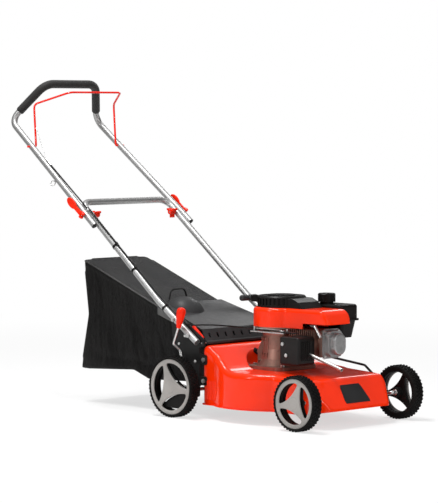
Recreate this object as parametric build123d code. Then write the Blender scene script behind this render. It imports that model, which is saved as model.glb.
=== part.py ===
from build123d import *
from math import asin, cos, radians, sin
import os

# Rotary lawn mower, pushed by hand, with a petrol engine and a rear grass bag.
# Millimetres. X runs forward, Y to the operator's left, Z up, and the ground is Z = 0.
# The front axle is the datum along X while the pieces are made, and the finished
# pieces are moved together so that the origin lies under the middle of the whole.

# Fits
RUN = 0.05
AIR = 0.4
SEAT = 0.3

# Wheels and axles
FRONT_AXLE_X = 250.0
WHEELBASE = 556.0
FRONT_WHEEL_R = 89.0
REAR_WHEEL_R = 101.5
TYRE_WIDTH = 42.0
WIDTH_OVER_TYRES = 532.0
TYRE_SHOWN = 9.6
RIM_DEPTH = 22.0
TREAD_DEPTH = 3.0
TREAD_COUNT = 30
CAP_SEAT = 13.0
CAP_THICK = 6.0
CAP_RING = 14.0
SPOKE_HUB = 0.40
SPOKE_HALF = 7.0
SPOKE_CORNER = 6.0
FRONT_SPOKE_TURN = 80.0
REAR_SPOKE_TURN = 39.0
HUB_R = 15.0
HUB_OUT = 10.0
AXLE_R = 6.0
CRANK = 49.0
CRANK_RISE = 10.0
CRANK_Y = 208.5
AXLE_BEND = 8.0
COLLAR_R = 10.0
COLLAR_THICK = 2.0
HEIGHT_ROD_R = 4.0

# Deck
DECK_WALL = 2.5
DECK_LOW = 45.0
DECK_FRONT_LOW = 60.0
DECK_TOP = 163.0
DECK_REAR_TOP = 240.0
DECK_NOSE_TOP = 153.0
DECK_REAR_HALF = 196.0
DECK_NOSE_HALF = 184.0
DECK_FRONT_HALF = 140.0
DECK_BULGE_R = 228.0
DECK_EDGE_R = 18.0
DECK_LIP = 6.0
DECK_LIP_THICK = 3.0
DECK_FRONT_AHEAD = 50.0
SHELF_TOP = 80.0
POCKET_R = 118.0
OUTLET_HALF = 130.0
OUTLET_LOW = 112.0
OUTLET_HIGH = 222.0

# Blade and crankshaft
BLADE_R = 205.0
BLADE_WIDTH = 50.0
BLADE_THICK = 3.0
BLADE_Z = 60.0
SHAFT_R = 11.1
JOURNAL_R = 12.5
STROKE = 44.0

# Engine
FLANGE_THICK = 12.0
CASE_TOP = 300.0
PLATE_TOP = 304.0
CYL_Z = 258.0
FIN_HALF_Y = 46.0
FIN_HALF_Z = 43.0
HEAD_FRONT = 215.0
COVER_FRONT = 261.0
SHROUD_TOP = 367.0
SHROUD_R = 93.0
SHROUD_HALF = 62.0
SHROUD_FRONT = 261.0
SHROUD_WALL = 2.5
SHROUD_NOTCH = 322.0
FLYWHEEL_R = 78.0
RECOIL_R = 80.0
RECOIL_TOP = 404.0
RECOIL_WALL = 3.0
RECOIL_SLOTS = 34
ROPE_R = 2.0
ROPE_Y = -28.0
ROPE_Z = 391.0
DRUM_R = 26.0

# Handles
TUBE_R = 11.0
TUBE_WALL = 1.5
PLATE_THICK = 4.0
LEG_TOP_Y = 202.0
GRIP_BEND_Y = 203.0
GRIP_CORNER_Y = 119.3
FOAM_R = 15.0
FOLD_GAP = 1.6
CAM_R = 8.0
CAM_BOLT_R = 3.0
CAM_PIN_R = 2.5
CAM_OUT = 8.5
BAIL_R = 3.5
CABLE_R = 2.5
CLIP_WALL = 1.2

# Grass bag and rear flap
FLAP_THICK = 4.0
FLAP_HALF_FRONT = 178.0
FLAP_HALF_REAR = 142.0
HINGE_R = 3.0
BAG_HALF = 150.0
BAG_WALL = 3.0
BAG_WIRE_R = 3.0

# Places worked out from the sizes above
REAR_AXLE_X = FRONT_AXLE_X - WHEELBASE
WHEEL_Y = (WIDTH_OVER_TYRES - TYRE_WIDTH) / 2
REAR_PIVOT = (REAR_AXLE_X + CRANK, REAR_WHEEL_R - CRANK_RISE)
FRONT_PIVOT = (FRONT_AXLE_X - CRANK, FRONT_WHEEL_R - CRANK_RISE)
DECK_REAR = REAR_PIVOT[0] + 29.0
DECK_FRONT = FRONT_AXLE_X + DECK_FRONT_AHEAD
ENGINE_X = DECK_REAR + 179.0
PLATE_OUT = DECK_REAR_HALF + PLATE_THICK
LEG_FOOT_Y = PLATE_OUT + TUBE_R


def back(distance):
    """X of a place a distance behind the deck's rear wall."""
    return DECK_REAR - distance


def fore(distance):
    """X of a place a distance ahead of the crankshaft."""
    return ENGINE_X + distance


def block(x0, x1, y0, y1, z0, z1):
    """A box between two corners."""
    middle = Pos((x0 + x1) / 2, (y0 + y1) / 2, (z0 + z1) / 2)
    return middle * Box(abs(x1 - x0), abs(y1 - y0), abs(z1 - z0))


def rounded_box(x0, x1, y0, y1, z0, z1, corner, edge):
    """A box with its four edges along Y rounded, and the rim of its face at y0 softened."""
    middle = Plane(origin=((x0 + x1) / 2, y1, (z0 + z1) / 2), x_dir=(1, 0, 0), z_dir=(0, y0 - y1, 0))
    box = extrude(middle * RectangleRounded(x1 - x0, z1 - z0, corner), abs(y1 - y0))
    face = box.faces().sort_by(Axis.Y)[0 if y0 < y1 else -1]
    return fillet(face.edges(), edge)


def bar(start, end, radius):
    """A round bar between two points."""
    a, b = Vector(*start), Vector(*end)
    plane = Plane(origin=a, z_dir=b - a)
    return extrude(plane * Circle(radius), (b - a).length)


def bent(points, bends, radius, bore=0):
    """A rod, or a tube where it has a bore, along straight runs joined by bends."""
    path = FilletPolyline(*points, radius=bends)
    section = Circle(radius)
    if bore:
        section = Circle(radius) - Circle(bore)
    return sweep(Plane(origin=path @ 0, z_dir=path % 0) * section, path=path)


def upright(points, y0, y1, corner=0):
    """A plate cut to an outline in X and Z, from y0 to y1."""
    flat = [(x, y0, z) for x, z in points]
    if corner:
        outline = FilletPolyline(*flat, radius=corner, close=True)
    else:
        outline = Polyline(*flat, close=True)
    return extrude(make_face(outline), amount=y1 - y0, dir=(0, 1, 0))


def both_sides(solid):
    """A solid and its mirror image across the middle of the mower."""
    return [solid, mirror(solid, about=Plane.XZ)]


def along(a, b, x):
    """The Z of the straight line from a to b, both X and Z, at x."""
    return a[1] + (b[1] - a[1]) * (x - a[0]) / (b[0] - a[0])


def hexagon_bolt(point, direction, shank_r, length, head_r, head):
    """A bolt whose head sits at the point and whose shank runs along the direction."""
    plane = Plane(origin=point, z_dir=direction)
    shank = extrude(plane * Circle(shank_r), length)
    top = extrude(plane * RegularPolygon(head_r, 6), -head)
    return shank + top


# The deck is pressed steel: a skirt around the blade, a top that ramps up to the
# rear outlet, and a sloped nose between the front wheels.
def deck_plan(inset):
    """Outline of the skirt seen from above, inset by a wall."""
    rear = DECK_REAR + inset
    front = DECK_FRONT - inset
    rear_half = DECK_REAR_HALF - inset
    nose_half = DECK_NOSE_HALF - inset
    front_half = DECK_FRONT_HALF - inset
    box = Pos((rear + ENGINE_X) / 2, 0) * Rectangle(ENGINE_X - rear, 2 * rear_half)
    reach = 3 * DECK_BULGE_R
    bulge = Pos(ENGINE_X, 0) * Circle(DECK_BULGE_R - inset)
    bulge = bulge & (Pos(rear + reach / 2, 0) * Rectangle(reach, reach))
    shoulder = FRONT_AXLE_X - 10
    nose = make_face(
        Polyline(
            (ENGINE_X, -nose_half),
            (shoulder, -nose_half),
            (front, -front_half),
            (front, front_half),
            (shoulder, nose_half),
            (ENGINE_X, nose_half),
            close=True,
        )
    )
    plan = box + bulge + nose
    middle = [v for v in plan.vertices() if rear + 5 < v.X < shoulder - 5]
    plan = fillet(middle, 30)
    plan = fillet([v for v in plan.vertices() if v.X > shoulder - 5], 34)
    corners = [v for v in plan.vertices() if v.X < rear + 5 and abs(v.Y) > rear_half - 5]
    return fillet(corners, 24 - inset)


def deck_blank(inset, low):
    """The solid inside the skirt and under the top, inset by a wall."""
    walls = extrude(Pos(0, 0, low) * deck_plan(inset), DECK_REAR_TOP + 20 - low)
    nose_tip = (DECK_FRONT + 14 - inset, DECK_LOW - 2)
    behind = DECK_REAR - 32
    outline = FilletPolyline(
        (behind, 0, low - 9),
        (behind, 0, DECK_REAR_TOP - inset),
        (back(-28), 0, DECK_REAR_TOP - inset),
        (back(-150), 0, DECK_TOP - inset),
        (fore(119), 0, DECK_TOP - inset),
        (FRONT_AXLE_X - 18 - inset / 2, 0, DECK_NOSE_TOP - inset),
        (nose_tip[0], 0, nose_tip[1]),
        (nose_tip[0], 0, low - 9),
        radius=[1, 70, 110, 60, 26, 1],
    )
    side = Face(Wire([*outline.edges(), Edge.make_line(outline @ 1, outline @ 0)]))
    under = Pos(0, -300, 0) * extrude(side, amount=600, dir=(0, 1, 0))
    solid = walls & under
    rim = [
        e
        for e in solid.edges()
        if e.center().Z > DECK_LOW + 7
        and abs((e % 0.5).Y) < 0.999
        and abs((e % 0.5).Z) < 0.97
    ]
    return fillet(rim, DECK_EDGE_R - inset)


def engine_disc(radius, low, high):
    """A round block about the crankshaft's axis."""
    return Pos(ENGINE_X, 0, (low + high) / 2) * Cylinder(radius, high - low)


def make_deck():
    """Shell, low shelf behind the blade, engine seat, rear outlet and rolled lip."""
    behind = block(back(80), back(0), -200, 200, 0, SHELF_TOP)
    outer = deck_blank(0, DECK_LOW)
    outer += engine_disc(DECK_BULGE_R, DECK_LOW, SHELF_TOP) & behind
    outer -= engine_disc(POCKET_R - DECK_WALL, DECK_TOP, DECK_TOP + 100)
    inner = deck_blank(DECK_WALL, DECK_LOW - 5)
    room = block(back(80), back(-DECK_WALL), -200, 200, 0, SHELF_TOP)
    inner += engine_disc(DECK_BULGE_R - DECK_WALL, DECK_LOW - 5, SHELF_TOP - DECK_WALL) & room
    inner -= engine_disc(POCKET_R, DECK_TOP - DECK_WALL, DECK_TOP + 100)
    shell = outer - inner
    lip = extrude(Pos(0, 0, DECK_LOW) * offset(deck_plan(0), DECK_LIP), DECK_LIP_THICK)
    lip -= extrude(Pos(0, 0, DECK_LOW) * deck_plan(DECK_WALL), DECK_LIP_THICK)
    lip -= block(back(30), back(-DECK_WALL), -145, 145, 0, 100)
    shell += lip
    shell -= block(back(10), back(-10), -OUTLET_HALF, OUTLET_HALF, OUTLET_LOW, OUTLET_HIGH)
    shell -= engine_disc(42, DECK_TOP - 30, DECK_TOP + 30)
    rise = upright(
        [
            (FRONT_AXLE_X - 25, DECK_LOW - 5),
            (DECK_FRONT + 20, DECK_LOW - 5),
            (DECK_FRONT + 20, DECK_FRONT_LOW),
            (FRONT_AXLE_X - 25, DECK_LOW),
        ],
        -300,
        300,
    )
    shell -= rise
    for x, z, shank in PLATE_BOLTS:
        if x > DECK_REAR:
            shell -= bar((x, -300, z), (x, 300, z), shank)
    for x, y in ENGINE_BOLTS:
        shell -= bar((x, y, DECK_TOP - 20), (x, y, DECK_TOP + 20), ENGINE_BOLT_R)
    bush = bar((FRONT_PIVOT[0], -300, FRONT_PIVOT[1]), (FRONT_PIVOT[0], 300, FRONT_PIVOT[1]), BUSH_R)
    return shell - bush


# Bolt places, X, Z and shank radius, shared by the plates, the handle and the deck
PLATE_BOLT_R = 4.0
PLATE_BOLTS = [(back(-16), 192, PLATE_BOLT_R), (back(-16), 123, PLATE_BOLT_R)]
LEG_FOOT = (back(3.4), 249.6)
LEG_BEND = (back(184.9), 376.5)
LEG_TOP = (back(573.8), 694.2)
LEG_BOLTS = [
    (x, along(LEG_FOOT, LEG_BEND, x), PLATE_BOLT_R) for x in (back(34), back(104))
]
ENGINE_BOLT_R = 4.0
ENGINE_BOLTS = [(fore(dx), dy) for dx in (-62, 62) for dy in (-62, 62)]
BUSH_R = 9.0
FLAP_HINGE = (back(-6), 247.0)


def make_side_plate():
    """Left steel plate that carries the handle foot, the flap rod and the rear axle."""
    outline = [
        (back(4), 108),
        (back(-29), 108),
        (back(-29), 138),
        (back(4), 138),
        (back(4), 176),
        (back(-29), 176),
        (back(-29), 208),
        (back(4), 212),
        (back(4), 234),
        (back(-20), 238),
        (back(-20), 258),
        (back(117), 345),
        (back(136), 308),
        (back(124), 226),
        (back(72), 208),
        (back(58), 150),
        (back(54), 72),
        (back(4), 68),
    ]
    plate = upright(outline, DECK_REAR_HALF, PLATE_OUT, corner=8)
    for x, z, shank in PLATE_BOLTS + LEG_BOLTS:
        plate -= bar((x, 0, z), (x, 300, z), shank)
    plate -= bar((FLAP_HINGE[0], 0, FLAP_HINGE[1]), (FLAP_HINGE[0], 300, FLAP_HINGE[1]), HINGE_R)
    plate -= bar((REAR_PIVOT[0], 0, REAR_PIVOT[1]), (REAR_PIVOT[0], 300, REAR_PIVOT[1]), BUSH_R)
    return plate


def make_handle_bolts():
    """Bolts through the plates into the deck, and through the handle feet."""
    bolts = []
    for x, z, shank in PLATE_BOLTS:
        reach = PLATE_THICK + DECK_WALL + 6
        bolts += both_sides(hexagon_bolt((x, PLATE_OUT, z), (0, -1, 0), shank, reach, 7.5, 5))
    outer = LEG_FOOT_Y + TUBE_R
    for x, z, shank in LEG_BOLTS:
        one = hexagon_bolt((x, outer, z), (0, -1, 0), shank, outer - DECK_REAR_HALF + 6, 7.5, 5)
        nut_solid = extrude(
            Plane(origin=(x, DECK_REAR_HALF, z), z_dir=(0, -1, 0)) * RegularPolygon(7.5, 6), 6
        )
        bolts += both_sides(one + nut_solid)
    return bolts


def make_axle_bushes():
    """Flanged bushes: the front pair in the deck's skirt, the rear pair in the plates."""
    bushes = []
    for (x, z), wall_in, wall_out in (
        (FRONT_PIVOT, DECK_NOSE_HALF - DECK_WALL, DECK_NOSE_HALF),
        (REAR_PIVOT, DECK_REAR_HALF, PLATE_OUT),
    ):
        sleeve = bar((x, wall_in - 5, z), (x, wall_out, z), BUSH_R)
        flange = bar((x, wall_in - 8, z), (x, wall_in, z), BUSH_R + 5)
        bush = sleeve + flange - bar((x, 0, z), (x, 300, z), AXLE_R + RUN)
        bushes += both_sides(bush)
    return bushes


# Axles are bent rods: a cross rod that turns in the bushes, an arm at each end, and
# the spindles that the wheels turn on. Turning the rod raises or lowers the deck.
def make_axle(pivot, axle_x, axle_z):
    """One axle with its collars and end heads."""
    end = WHEEL_Y + HUB_OUT + AIR + COLLAR_THICK
    half = [(axle_x, end, axle_z), (axle_x, CRANK_Y, axle_z), (pivot[0], CRANK_Y, pivot[1])]
    points = half + [(x, -y, z) for x, y, z in reversed(half)]
    axle = bent(points, AXLE_BEND, AXLE_R)
    for sign in (1, -1):
        outside = sign * (WHEEL_Y + HUB_OUT + AIR)
        inside = sign * (WHEEL_Y - TYRE_WIDTH / 2 - AIR)
        step = sign * COLLAR_THICK
        axle += bar((axle_x, outside, axle_z), (axle_x, outside + step, axle_z), COLLAR_R)
        axle += bar((axle_x, inside, axle_z), (axle_x, inside - step, axle_z), COLLAR_R)
    return axle


LEVER_Y = CRANK_Y + AXLE_R + HEIGHT_ROD_R + SEAT
LEVER_OUT_Y = LEG_FOOT_Y + 30.0
REAR_LEVER_TOP = (back(45), 356.0)
REAR_LEVER_NECK = (back(63), 292.0)


def make_rear_lever():
    """Rod welded to the rear axle's right arm, up past the wheel to the grip."""
    points = [
        (REAR_PIVOT[0] - 4, -LEVER_Y, REAR_PIVOT[1] + 2),
        (back(76), -LEVER_Y, 220),
        (back(84), -LEVER_OUT_Y, 242),
        (REAR_LEVER_NECK[0], -LEVER_OUT_Y, REAR_LEVER_NECK[1]),
        (REAR_LEVER_TOP[0], -LEVER_OUT_Y, REAR_LEVER_TOP[1]),
    ]
    return bent(points, 10, HEIGHT_ROD_R)


def make_rear_lever_grip():
    """Moulded grip pushed over the end of the lever."""
    low = Vector(REAR_LEVER_NECK[0], -LEVER_OUT_Y, REAR_LEVER_NECK[1])
    top = Vector(REAR_LEVER_TOP[0], -LEVER_OUT_Y, REAR_LEVER_TOP[1])
    way = (top - low).normalized()
    length = (top - low).length + 6
    plane = Plane(origin=low + way * 2, x_dir=(0, 1, 0), z_dir=way)
    sections = [
        plane.offset(at * length) * Circle(radius)
        for at, radius in ((0, 6.0), (0.35, 8.6), (0.75, 9.6), (1.0, 7.6))
    ]
    grip = loft(sections)
    return grip - bar(low, top, HEIGHT_ROD_R)


def make_front_lever():
    """Rod welded on the front axle's left arm, bent back over the deck's edge."""
    points = [
        (FRONT_PIVOT[0], CRANK_Y, FRONT_PIVOT[1] + AXLE_R),
        (FRONT_PIVOT[0] - 22, CRANK_Y, 135),
        (FRONT_PIVOT[0] - 70, CRANK_Y, 171),
        (fore(26), CRANK_Y, 188),
        (fore(-30), CRANK_Y, 196),
    ]
    return bent(points, [18, 22, 40], HEIGHT_ROD_R)


# Wheels: a black moulded wheel with three spokes and a lugged tread, and a grey cap.
def spoke_openings(radius, turn):
    """Three openings between the spokes: the ring's circle outside, a hollow arc inside."""
    ring = radius - TYRE_SHOWN - CAP_RING
    inner = SPOKE_HUB * ring
    angle = radians(60) - asin(SPOKE_HALF / ring)
    reach = ring * cos(angle) - inner
    arc = (reach**2 + (ring * sin(angle)) ** 2) / (2 * reach)
    one = Circle(ring) & (Pos(0, -inner - arc) * Circle(arc))
    one = fillet(one.vertices(), SPOKE_CORNER)
    three = [Rot(0, 0, turn + n * 120) * one for n in range(3)]
    return three[0] + three[1] + three[2]


def wheel_disc(sketch, low, high):
    """A sketch in the wheel's plane, made solid between two places along the axle."""
    return extrude(Plane(origin=(0, low, 0), x_dir=(1, 0, 0), z_dir=(0, 1, 0)) * sketch, high - low)


def make_wheel(radius, spoke_turn):
    """Left wheel about its own centre, the outside towards +Y."""
    half = TYRE_WIDTH / 2
    rim = radius - RIM_DEPTH
    cap = radius - TYRE_SHOWN
    section = make_face(
        Polyline(
            (rim, -half + 2),
            (radius - 6, -half),
            (radius, -half + 5),
            (radius, half - 5),
            (radius - 6, half),
            (cap, half),
            (cap, CAP_SEAT),
            (rim, CAP_SEAT),
            close=True,
        )
    )
    tyre = revolve(section, axis=Axis.Y)
    web = wheel_disc(Circle(rim) - spoke_openings(radius, spoke_turn), -2, 6)
    hub = wheel_disc(Circle(HUB_R), -half, HUB_OUT)
    wheel = tyre + web + hub
    pitch = 360 / TREAD_COUNT
    for side in (-1, 1):
        for n in range(TREAD_COUNT):
            turn = Rot(0, (n + 0.5 + side * 0.25) * pitch, 0)
            groove = Pos(0, side * half / 2, -radius) * Box(4, half, 2 * TREAD_DEPTH)
            wheel -= turn * groove
    return wheel - wheel_disc(Circle(AXLE_R + RUN), -half - 1, half)


def make_cap(radius, spoke_turn):
    """Left hub cap about its wheel's centre: a ring, three spokes and a round boss."""
    outer = radius - TYRE_SHOWN - RUN
    cap = wheel_disc(Circle(outer) - spoke_openings(radius, spoke_turn), CAP_SEAT, CAP_SEAT + CAP_THICK)
    boss = wheel_disc(Circle(0.24 * outer), CAP_SEAT + CAP_THICK, CAP_SEAT + CAP_THICK + 1.6)
    return cap + boss


# Crankshaft, flywheel and blade turn together about the engine's upright axis.
def make_crankshaft():
    """Shaft with two journals, a crank pin between two webs, and a tapered top."""
    half = STROKE / 2
    shaft = engine_disc(SHAFT_R, BLADE_Z + BLADE_THICK + 8, 166)
    shaft += engine_disc(JOURNAL_R, 155, 215)
    shaft += engine_disc(34, 215, 228)
    shaft += Pos(ENGINE_X + half, 0, 246) * Cylinder(13, 36)
    shaft += engine_disc(34, 264, 277)
    shaft += engine_disc(JOURNAL_R, 277, 306)
    shaft += engine_disc(10, 306, 352)
    return shaft - engine_disc(BLADE_BOLT_R, BLADE_Z, BLADE_Z + 40)


BLADE_BOLT_R = 4.0
FLYWHEEL_LOW = 308.0


def make_flywheel():
    """Cast wheel with fan blades on its upper face."""
    wheel = engine_disc(FLYWHEEL_R, FLYWHEEL_LOW, FLYWHEEL_LOW + 16)
    wheel -= engine_disc(FLYWHEEL_R - 12, FLYWHEEL_LOW - 1, FLYWHEEL_LOW + 8)
    wheel += engine_disc(22, FLYWHEEL_LOW, FLYWHEEL_LOW + 30)
    for n in range(14):
        fan = Pos(ENGINE_X, 0, FLYWHEEL_LOW + 25) * Rot(0, 0, n * 360 / 14)
        wheel += fan * (Pos(56, 0, 0) * Box(40, 3, 18))
    return wheel - engine_disc(10, 300, 360)


def make_blade_boss():
    """Adapter that clamps the blade to the shaft's end."""
    top = BLADE_Z + BLADE_THICK
    boss = engine_disc(19, top, top + 42)
    boss += engine_disc(30, top, top + 8)
    boss -= engine_disc(SHAFT_R, top + 8, top + 60)
    return boss - engine_disc(BLADE_BOLT_R, top - 1, top + 20)


def make_blade():
    """Flat steel bar with raised wings on the trailing edges and ground leading edges."""
    half = BLADE_WIDTH / 2
    blade = block(fore(-BLADE_R), fore(BLADE_R), -half, half, BLADE_Z, BLADE_Z + BLADE_THICK)
    blade = blade & engine_disc(BLADE_R, BLADE_Z - 1, BLADE_Z + 20)
    for side in (1, -1):
        edge = side * BLADE_WIDTH / 2
        inner, outer = fore(side * 110), fore(side * (BLADE_R - 8))
        wing = extrude(
            make_face(
                Polyline(
                    (inner, edge - side * 16, BLADE_Z + BLADE_THICK),
                    (inner, edge, BLADE_Z + BLADE_THICK),
                    (inner, edge, BLADE_Z + 12),
                    close=True,
                )
            ),
            amount=abs(outer - inner),
            dir=(side, 0, 0),
        )
        blade += wing
        ground = extrude(
            make_face(
                Polyline(
                    (fore(side * 100), -edge, BLADE_Z + BLADE_THICK),
                    (fore(side * 100), -edge + side * 10, BLADE_Z + BLADE_THICK),
                    (fore(side * 100), -edge, BLADE_Z + 0.8),
                    close=True,
                )
            ),
            amount=BLADE_R,
            dir=(side, 0, 0),
        )
        blade -= ground
    return blade - engine_disc(BLADE_BOLT_R, BLADE_Z - 5, BLADE_Z + 10)


def make_blade_bolt():
    """Bolt and washer that hold the blade from below."""
    bolt = hexagon_bolt((ENGINE_X, 0, BLADE_Z - 3), (0, 0, 1), BLADE_BOLT_R, 30, 8.5, 6)
    return bolt + engine_disc(16, BLADE_Z - 3, BLADE_Z)


# Engine: crankcase, finned cylinder pointing forward, valve cover, muffler, cowls, tank.
def make_crankcase():
    """Hollow casting with a square foot, a flared waist, ribs and a cowl plate on top."""
    foot_top = DECK_TOP + FLANGE_THICK
    foot = extrude(
        Pos(ENGINE_X, 0, DECK_TOP) * RectangleRounded(168, 184, 30), FLANGE_THICK
    )
    waist = revolve(
        make_face(
            Polyline(
                (ENGINE_X, 0, foot_top),
                (fore(82), 0, foot_top),
                (fore(70), 0, foot_top + 22),
                (fore(63), 0, foot_top + 55),
                (fore(62), 0, CASE_TOP - 24),
                (fore(68), 0, CASE_TOP),
                (ENGINE_X, 0, CASE_TOP),
                close=True,
            )
        ),
        axis=Axis((ENGINE_X, 0, 0), (0, 0, 1)),
    )
    case = foot + waist + engine_disc(SHROUD_R, CASE_TOP, PLATE_TOP)
    case += engine_disc(40, DECK_TOP - 8, DECK_TOP)
    for turn in (45, 135, 225, 315):
        rib = upright([(56, foot_top), (98, foot_top), (60, CASE_TOP - 30), (56, CASE_TOP - 30)], -2.5, 2.5)
        case += Pos(ENGINE_X, 0, 0) * Rot(0, 0, turn) * rib
    case -= engine_disc(54, foot_top + 10, CASE_TOP - 8)
    case -= engine_disc(JOURNAL_R + RUN, DECK_TOP - 20, CASE_TOP + 20)
    for x, y in ENGINE_BOLTS:
        case -= bar((x, y, DECK_TOP - 20), (x, y, foot_top + 1), ENGINE_BOLT_R)
        case -= bar((x, y, foot_top), (x, y, foot_top + 40), 9)
    return case


def make_cylinder(case):
    """Cylinder barrel and head in one casting, with square cooling fins."""
    axis_z = CYL_Z
    barrel = bar((fore(40), 0, axis_z), (fore(HEAD_FRONT), 0, axis_z), 34)
    block_end = block(
        fore(HEAD_FRONT - 12), fore(HEAD_FRONT), HEAD_SIDE, -HEAD_SIDE,
        axis_z - FIN_HALF_Z, axis_z + FIN_HALF_Z,
    )
    casting = barrel + block_end
    pitch = 9.0
    count = int((HEAD_FRONT - 14 - 76) / pitch)
    for n in range(count):
        x = fore(76 + n * pitch)
        casting += block(x, x + 3, -FIN_HALF_Y, FIN_HALF_Y, axis_z - FIN_HALF_Z, axis_z + FIN_HALF_Z)
    casting += block(fore(60), fore(HEAD_FRONT - 6), -14, 14, axis_z - FIN_HALF_Z, axis_z + FIN_HALF_Z)
    return casting - engine_disc(71, 0, 500) - case


COVER_BOLTS = [(y, CYL_Z + z) for y in (-32, 32) for z in (-39, 39)]


def make_valve_cover():
    """Pressed cover on the cylinder's front: flange, box and a raised rounded face."""
    plane = Plane(origin=(fore(HEAD_FRONT), 0, CYL_Z), x_dir=(0, 1, 0), z_dir=(1, 0, 0))
    cover = extrude(plane * RectangleRounded(78, 96, 12), 5)
    cover += extrude(plane.offset(5) * RectangleRounded(68, 84, 18), 20)
    face = extrude(plane.offset(25) * RectangleRounded(56, 70, 26), COVER_FRONT - HEAD_FRONT - 25)
    cover += fillet(face.faces().sort_by(Axis.X)[-1].edges(), 6)
    for y, z in COVER_BOLTS:
        cover -= bar((fore(HEAD_FRONT - 2), y, z), (fore(HEAD_FRONT + 7), y, z), 3)
        cover -= bar((fore(HEAD_FRONT + 5), y, z), (fore(HEAD_FRONT + 40), y, z), 6.5)
    return cover


MUFFLER = (fore(104), fore(188), -122.0, -FIN_HALF_Y, 190.0, 281.0)
MUFFLER_BOLTS = [(fore(120), 258.0), (fore(136), 222.0)]


def make_muffler():
    """Box muffler with its heat guard: a rounded case with upright ribs in front."""
    x0, x1, y0, y1, z0, z1 = MUFFLER
    case = rounded_box(x0, x1, y0, y1, z0, z1, 9, 6)
    for n in range(6):
        y = y0 + 14 + n * 9.5
        case -= block(x1 - 3, x1 + 5, y, y + 4, z0 + 14, z1 - 12)
    for x, z in MUFFLER_BOLTS:
        case -= bar((x, y0 - 1, z), (x, y0 + 12, z), 3)
    start, end = EXHAUST
    case -= bar(start, end, EXHAUST_R)
    wall = MUFFLER_WALL
    return case - rounded_box(x0 + wall, x1 - 2 * wall, y0 + wall, y1 - wall, z0 + wall, z1 - wall, 6, 3)


MUFFLER_WALL = 3.0


EXHAUST_R = 6.0
EXHAUST = ((fore(180), -66.0, 226.0), (fore(325), -66.0, 184.0))


def make_exhaust():
    """Open tail pipe from the muffler, forward and down."""
    start, end = EXHAUST
    return bar(start, end, EXHAUST_R) - bar(start, end, EXHAUST_R - 1.2)


def shroud_blank(inset, low):
    """Round over the flywheel and straight-sided over the cylinder, rounded to the front."""
    half = SHROUD_HALF - inset
    front = fore(SHROUD_FRONT) - inset
    plan = Pos(ENGINE_X, 0) * Circle(SHROUD_R - inset)
    plan += Pos((ENGINE_X + front) / 2, 0) * Rectangle(front - ENGINE_X, 2 * half)
    plan = fillet([v for v in plan.vertices() if v.X > front - 5], 30 - inset)
    plan = fillet([v for v in plan.vertices() if v.X < fore(120)], 15)
    walls = extrude(Pos(0, 0, low) * plan, SHROUD_TOP + 20 - low)
    outline = FilletPolyline(
        (fore(-130), 0, low - 5),
        (fore(-130), 0, SHROUD_TOP - inset),
        (fore(SHROUD_FRONT - 26) - inset, 0, SHROUD_TOP - inset),
        (fore(SHROUD_FRONT + 6) - inset, 0, SHROUD_NOTCH - 10),
        (fore(SHROUD_FRONT + 6) - inset, 0, low - 5),
        radius=[1, 34, 1],
    )
    side = Face(Wire([*outline.edges(), Edge.make_line(outline @ 1, outline @ 0)]))
    solid = walls & (Pos(0, -200, 0) * extrude(side, amount=400, dir=(0, 1, 0)))
    rim = [
        e
        for e in solid.edges()
        if e.center().Z > SHROUD_NOTCH + 4
        and abs((e % 0.5).Y) < 0.999
        and abs((e % 0.5).Z) < 0.9
        and e.center().X < front - 1
    ]
    return fillet(rim, 12 - inset)


def make_shroud():
    """Blower housing, open below and cut up over the cylinder head."""
    shell = shroud_blank(0, PLATE_TOP) - shroud_blank(SHROUD_WALL, PLATE_TOP - 5)
    shell -= engine_disc(RECOIL_R - 14, SHROUD_TOP - 20, SHROUD_TOP + 20)
    return shell - block(fore(150), fore(300), -100, 100, PLATE_TOP - 1, SHROUD_NOTCH)


def make_recoil_cover():
    """Slotted starter housing with the drum's post, a rope outlet and a cowl in front."""
    cover = engine_disc(RECOIL_R, SHROUD_TOP, RECOIL_TOP - 5)
    cap = engine_disc(RECOIL_R, RECOIL_TOP - 5, RECOIL_TOP)
    cover += chamfer(cap.faces().sort_by(Axis.Z)[-1].edges(), 4.5)
    cover += engine_disc(46, RECOIL_TOP, RECOIL_TOP + 3)
    cowl = upright(
        [
            (fore(40), SHROUD_TOP),
            (fore(138), SHROUD_TOP),
            (fore(118), SHROUD_TOP + 20),
            (fore(92), SHROUD_TOP + 31),
            (fore(40), SHROUD_TOP + 31),
        ],
        -48,
        48,
    )
    cover += cowl
    cover += block(fore(-101), fore(-60), ROPE_Y - 13, ROPE_Y + 13, ROPE_Z - 11, ROPE_Z + 10)
    cover -= engine_disc(RECOIL_R - RECOIL_WALL, SHROUD_TOP - 1, RECOIL_TOP - RECOIL_WALL)
    for n in range(RECOIL_SLOTS):
        turn = n * 360 / RECOIL_SLOTS
        if 28 < turn < 332 and not 182 < turn < 222:
            slot = Pos(RECOIL_R, 0, SHROUD_TOP + 18) * Box(12, 7, 22)
            cover -= Pos(ENGINE_X, 0, 0) * Rot(0, 0, turn) * slot
    cover += engine_disc(6, ROPE_Z - 14, RECOIL_TOP - 1)
    return cover - bar((fore(-120), ROPE_Y, ROPE_Z), (ENGINE_X, ROPE_Y, ROPE_Z), ROPE_R + SEAT)


def make_starter_drum():
    """Grooved drum that the rope winds on."""
    drum = engine_disc(DRUM_R + 8, ROPE_Z - 7, ROPE_Z + 6)
    groove = engine_disc(DRUM_R + 20, ROPE_Z - 3.4, ROPE_Z + 3.4)
    groove -= engine_disc(DRUM_R - SEAT, ROPE_Z - 5, ROPE_Z + 5)
    return drum - groove - engine_disc(6 + RUN, 0, 500)


ROPE_OUT = fore(-104)


def make_starter_rope():
    """Rope from the drum to the handle."""
    return bar((ENGINE_X, ROPE_Y, ROPE_Z), (ROPE_OUT - 2, ROPE_Y, ROPE_Z), ROPE_R)


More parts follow.
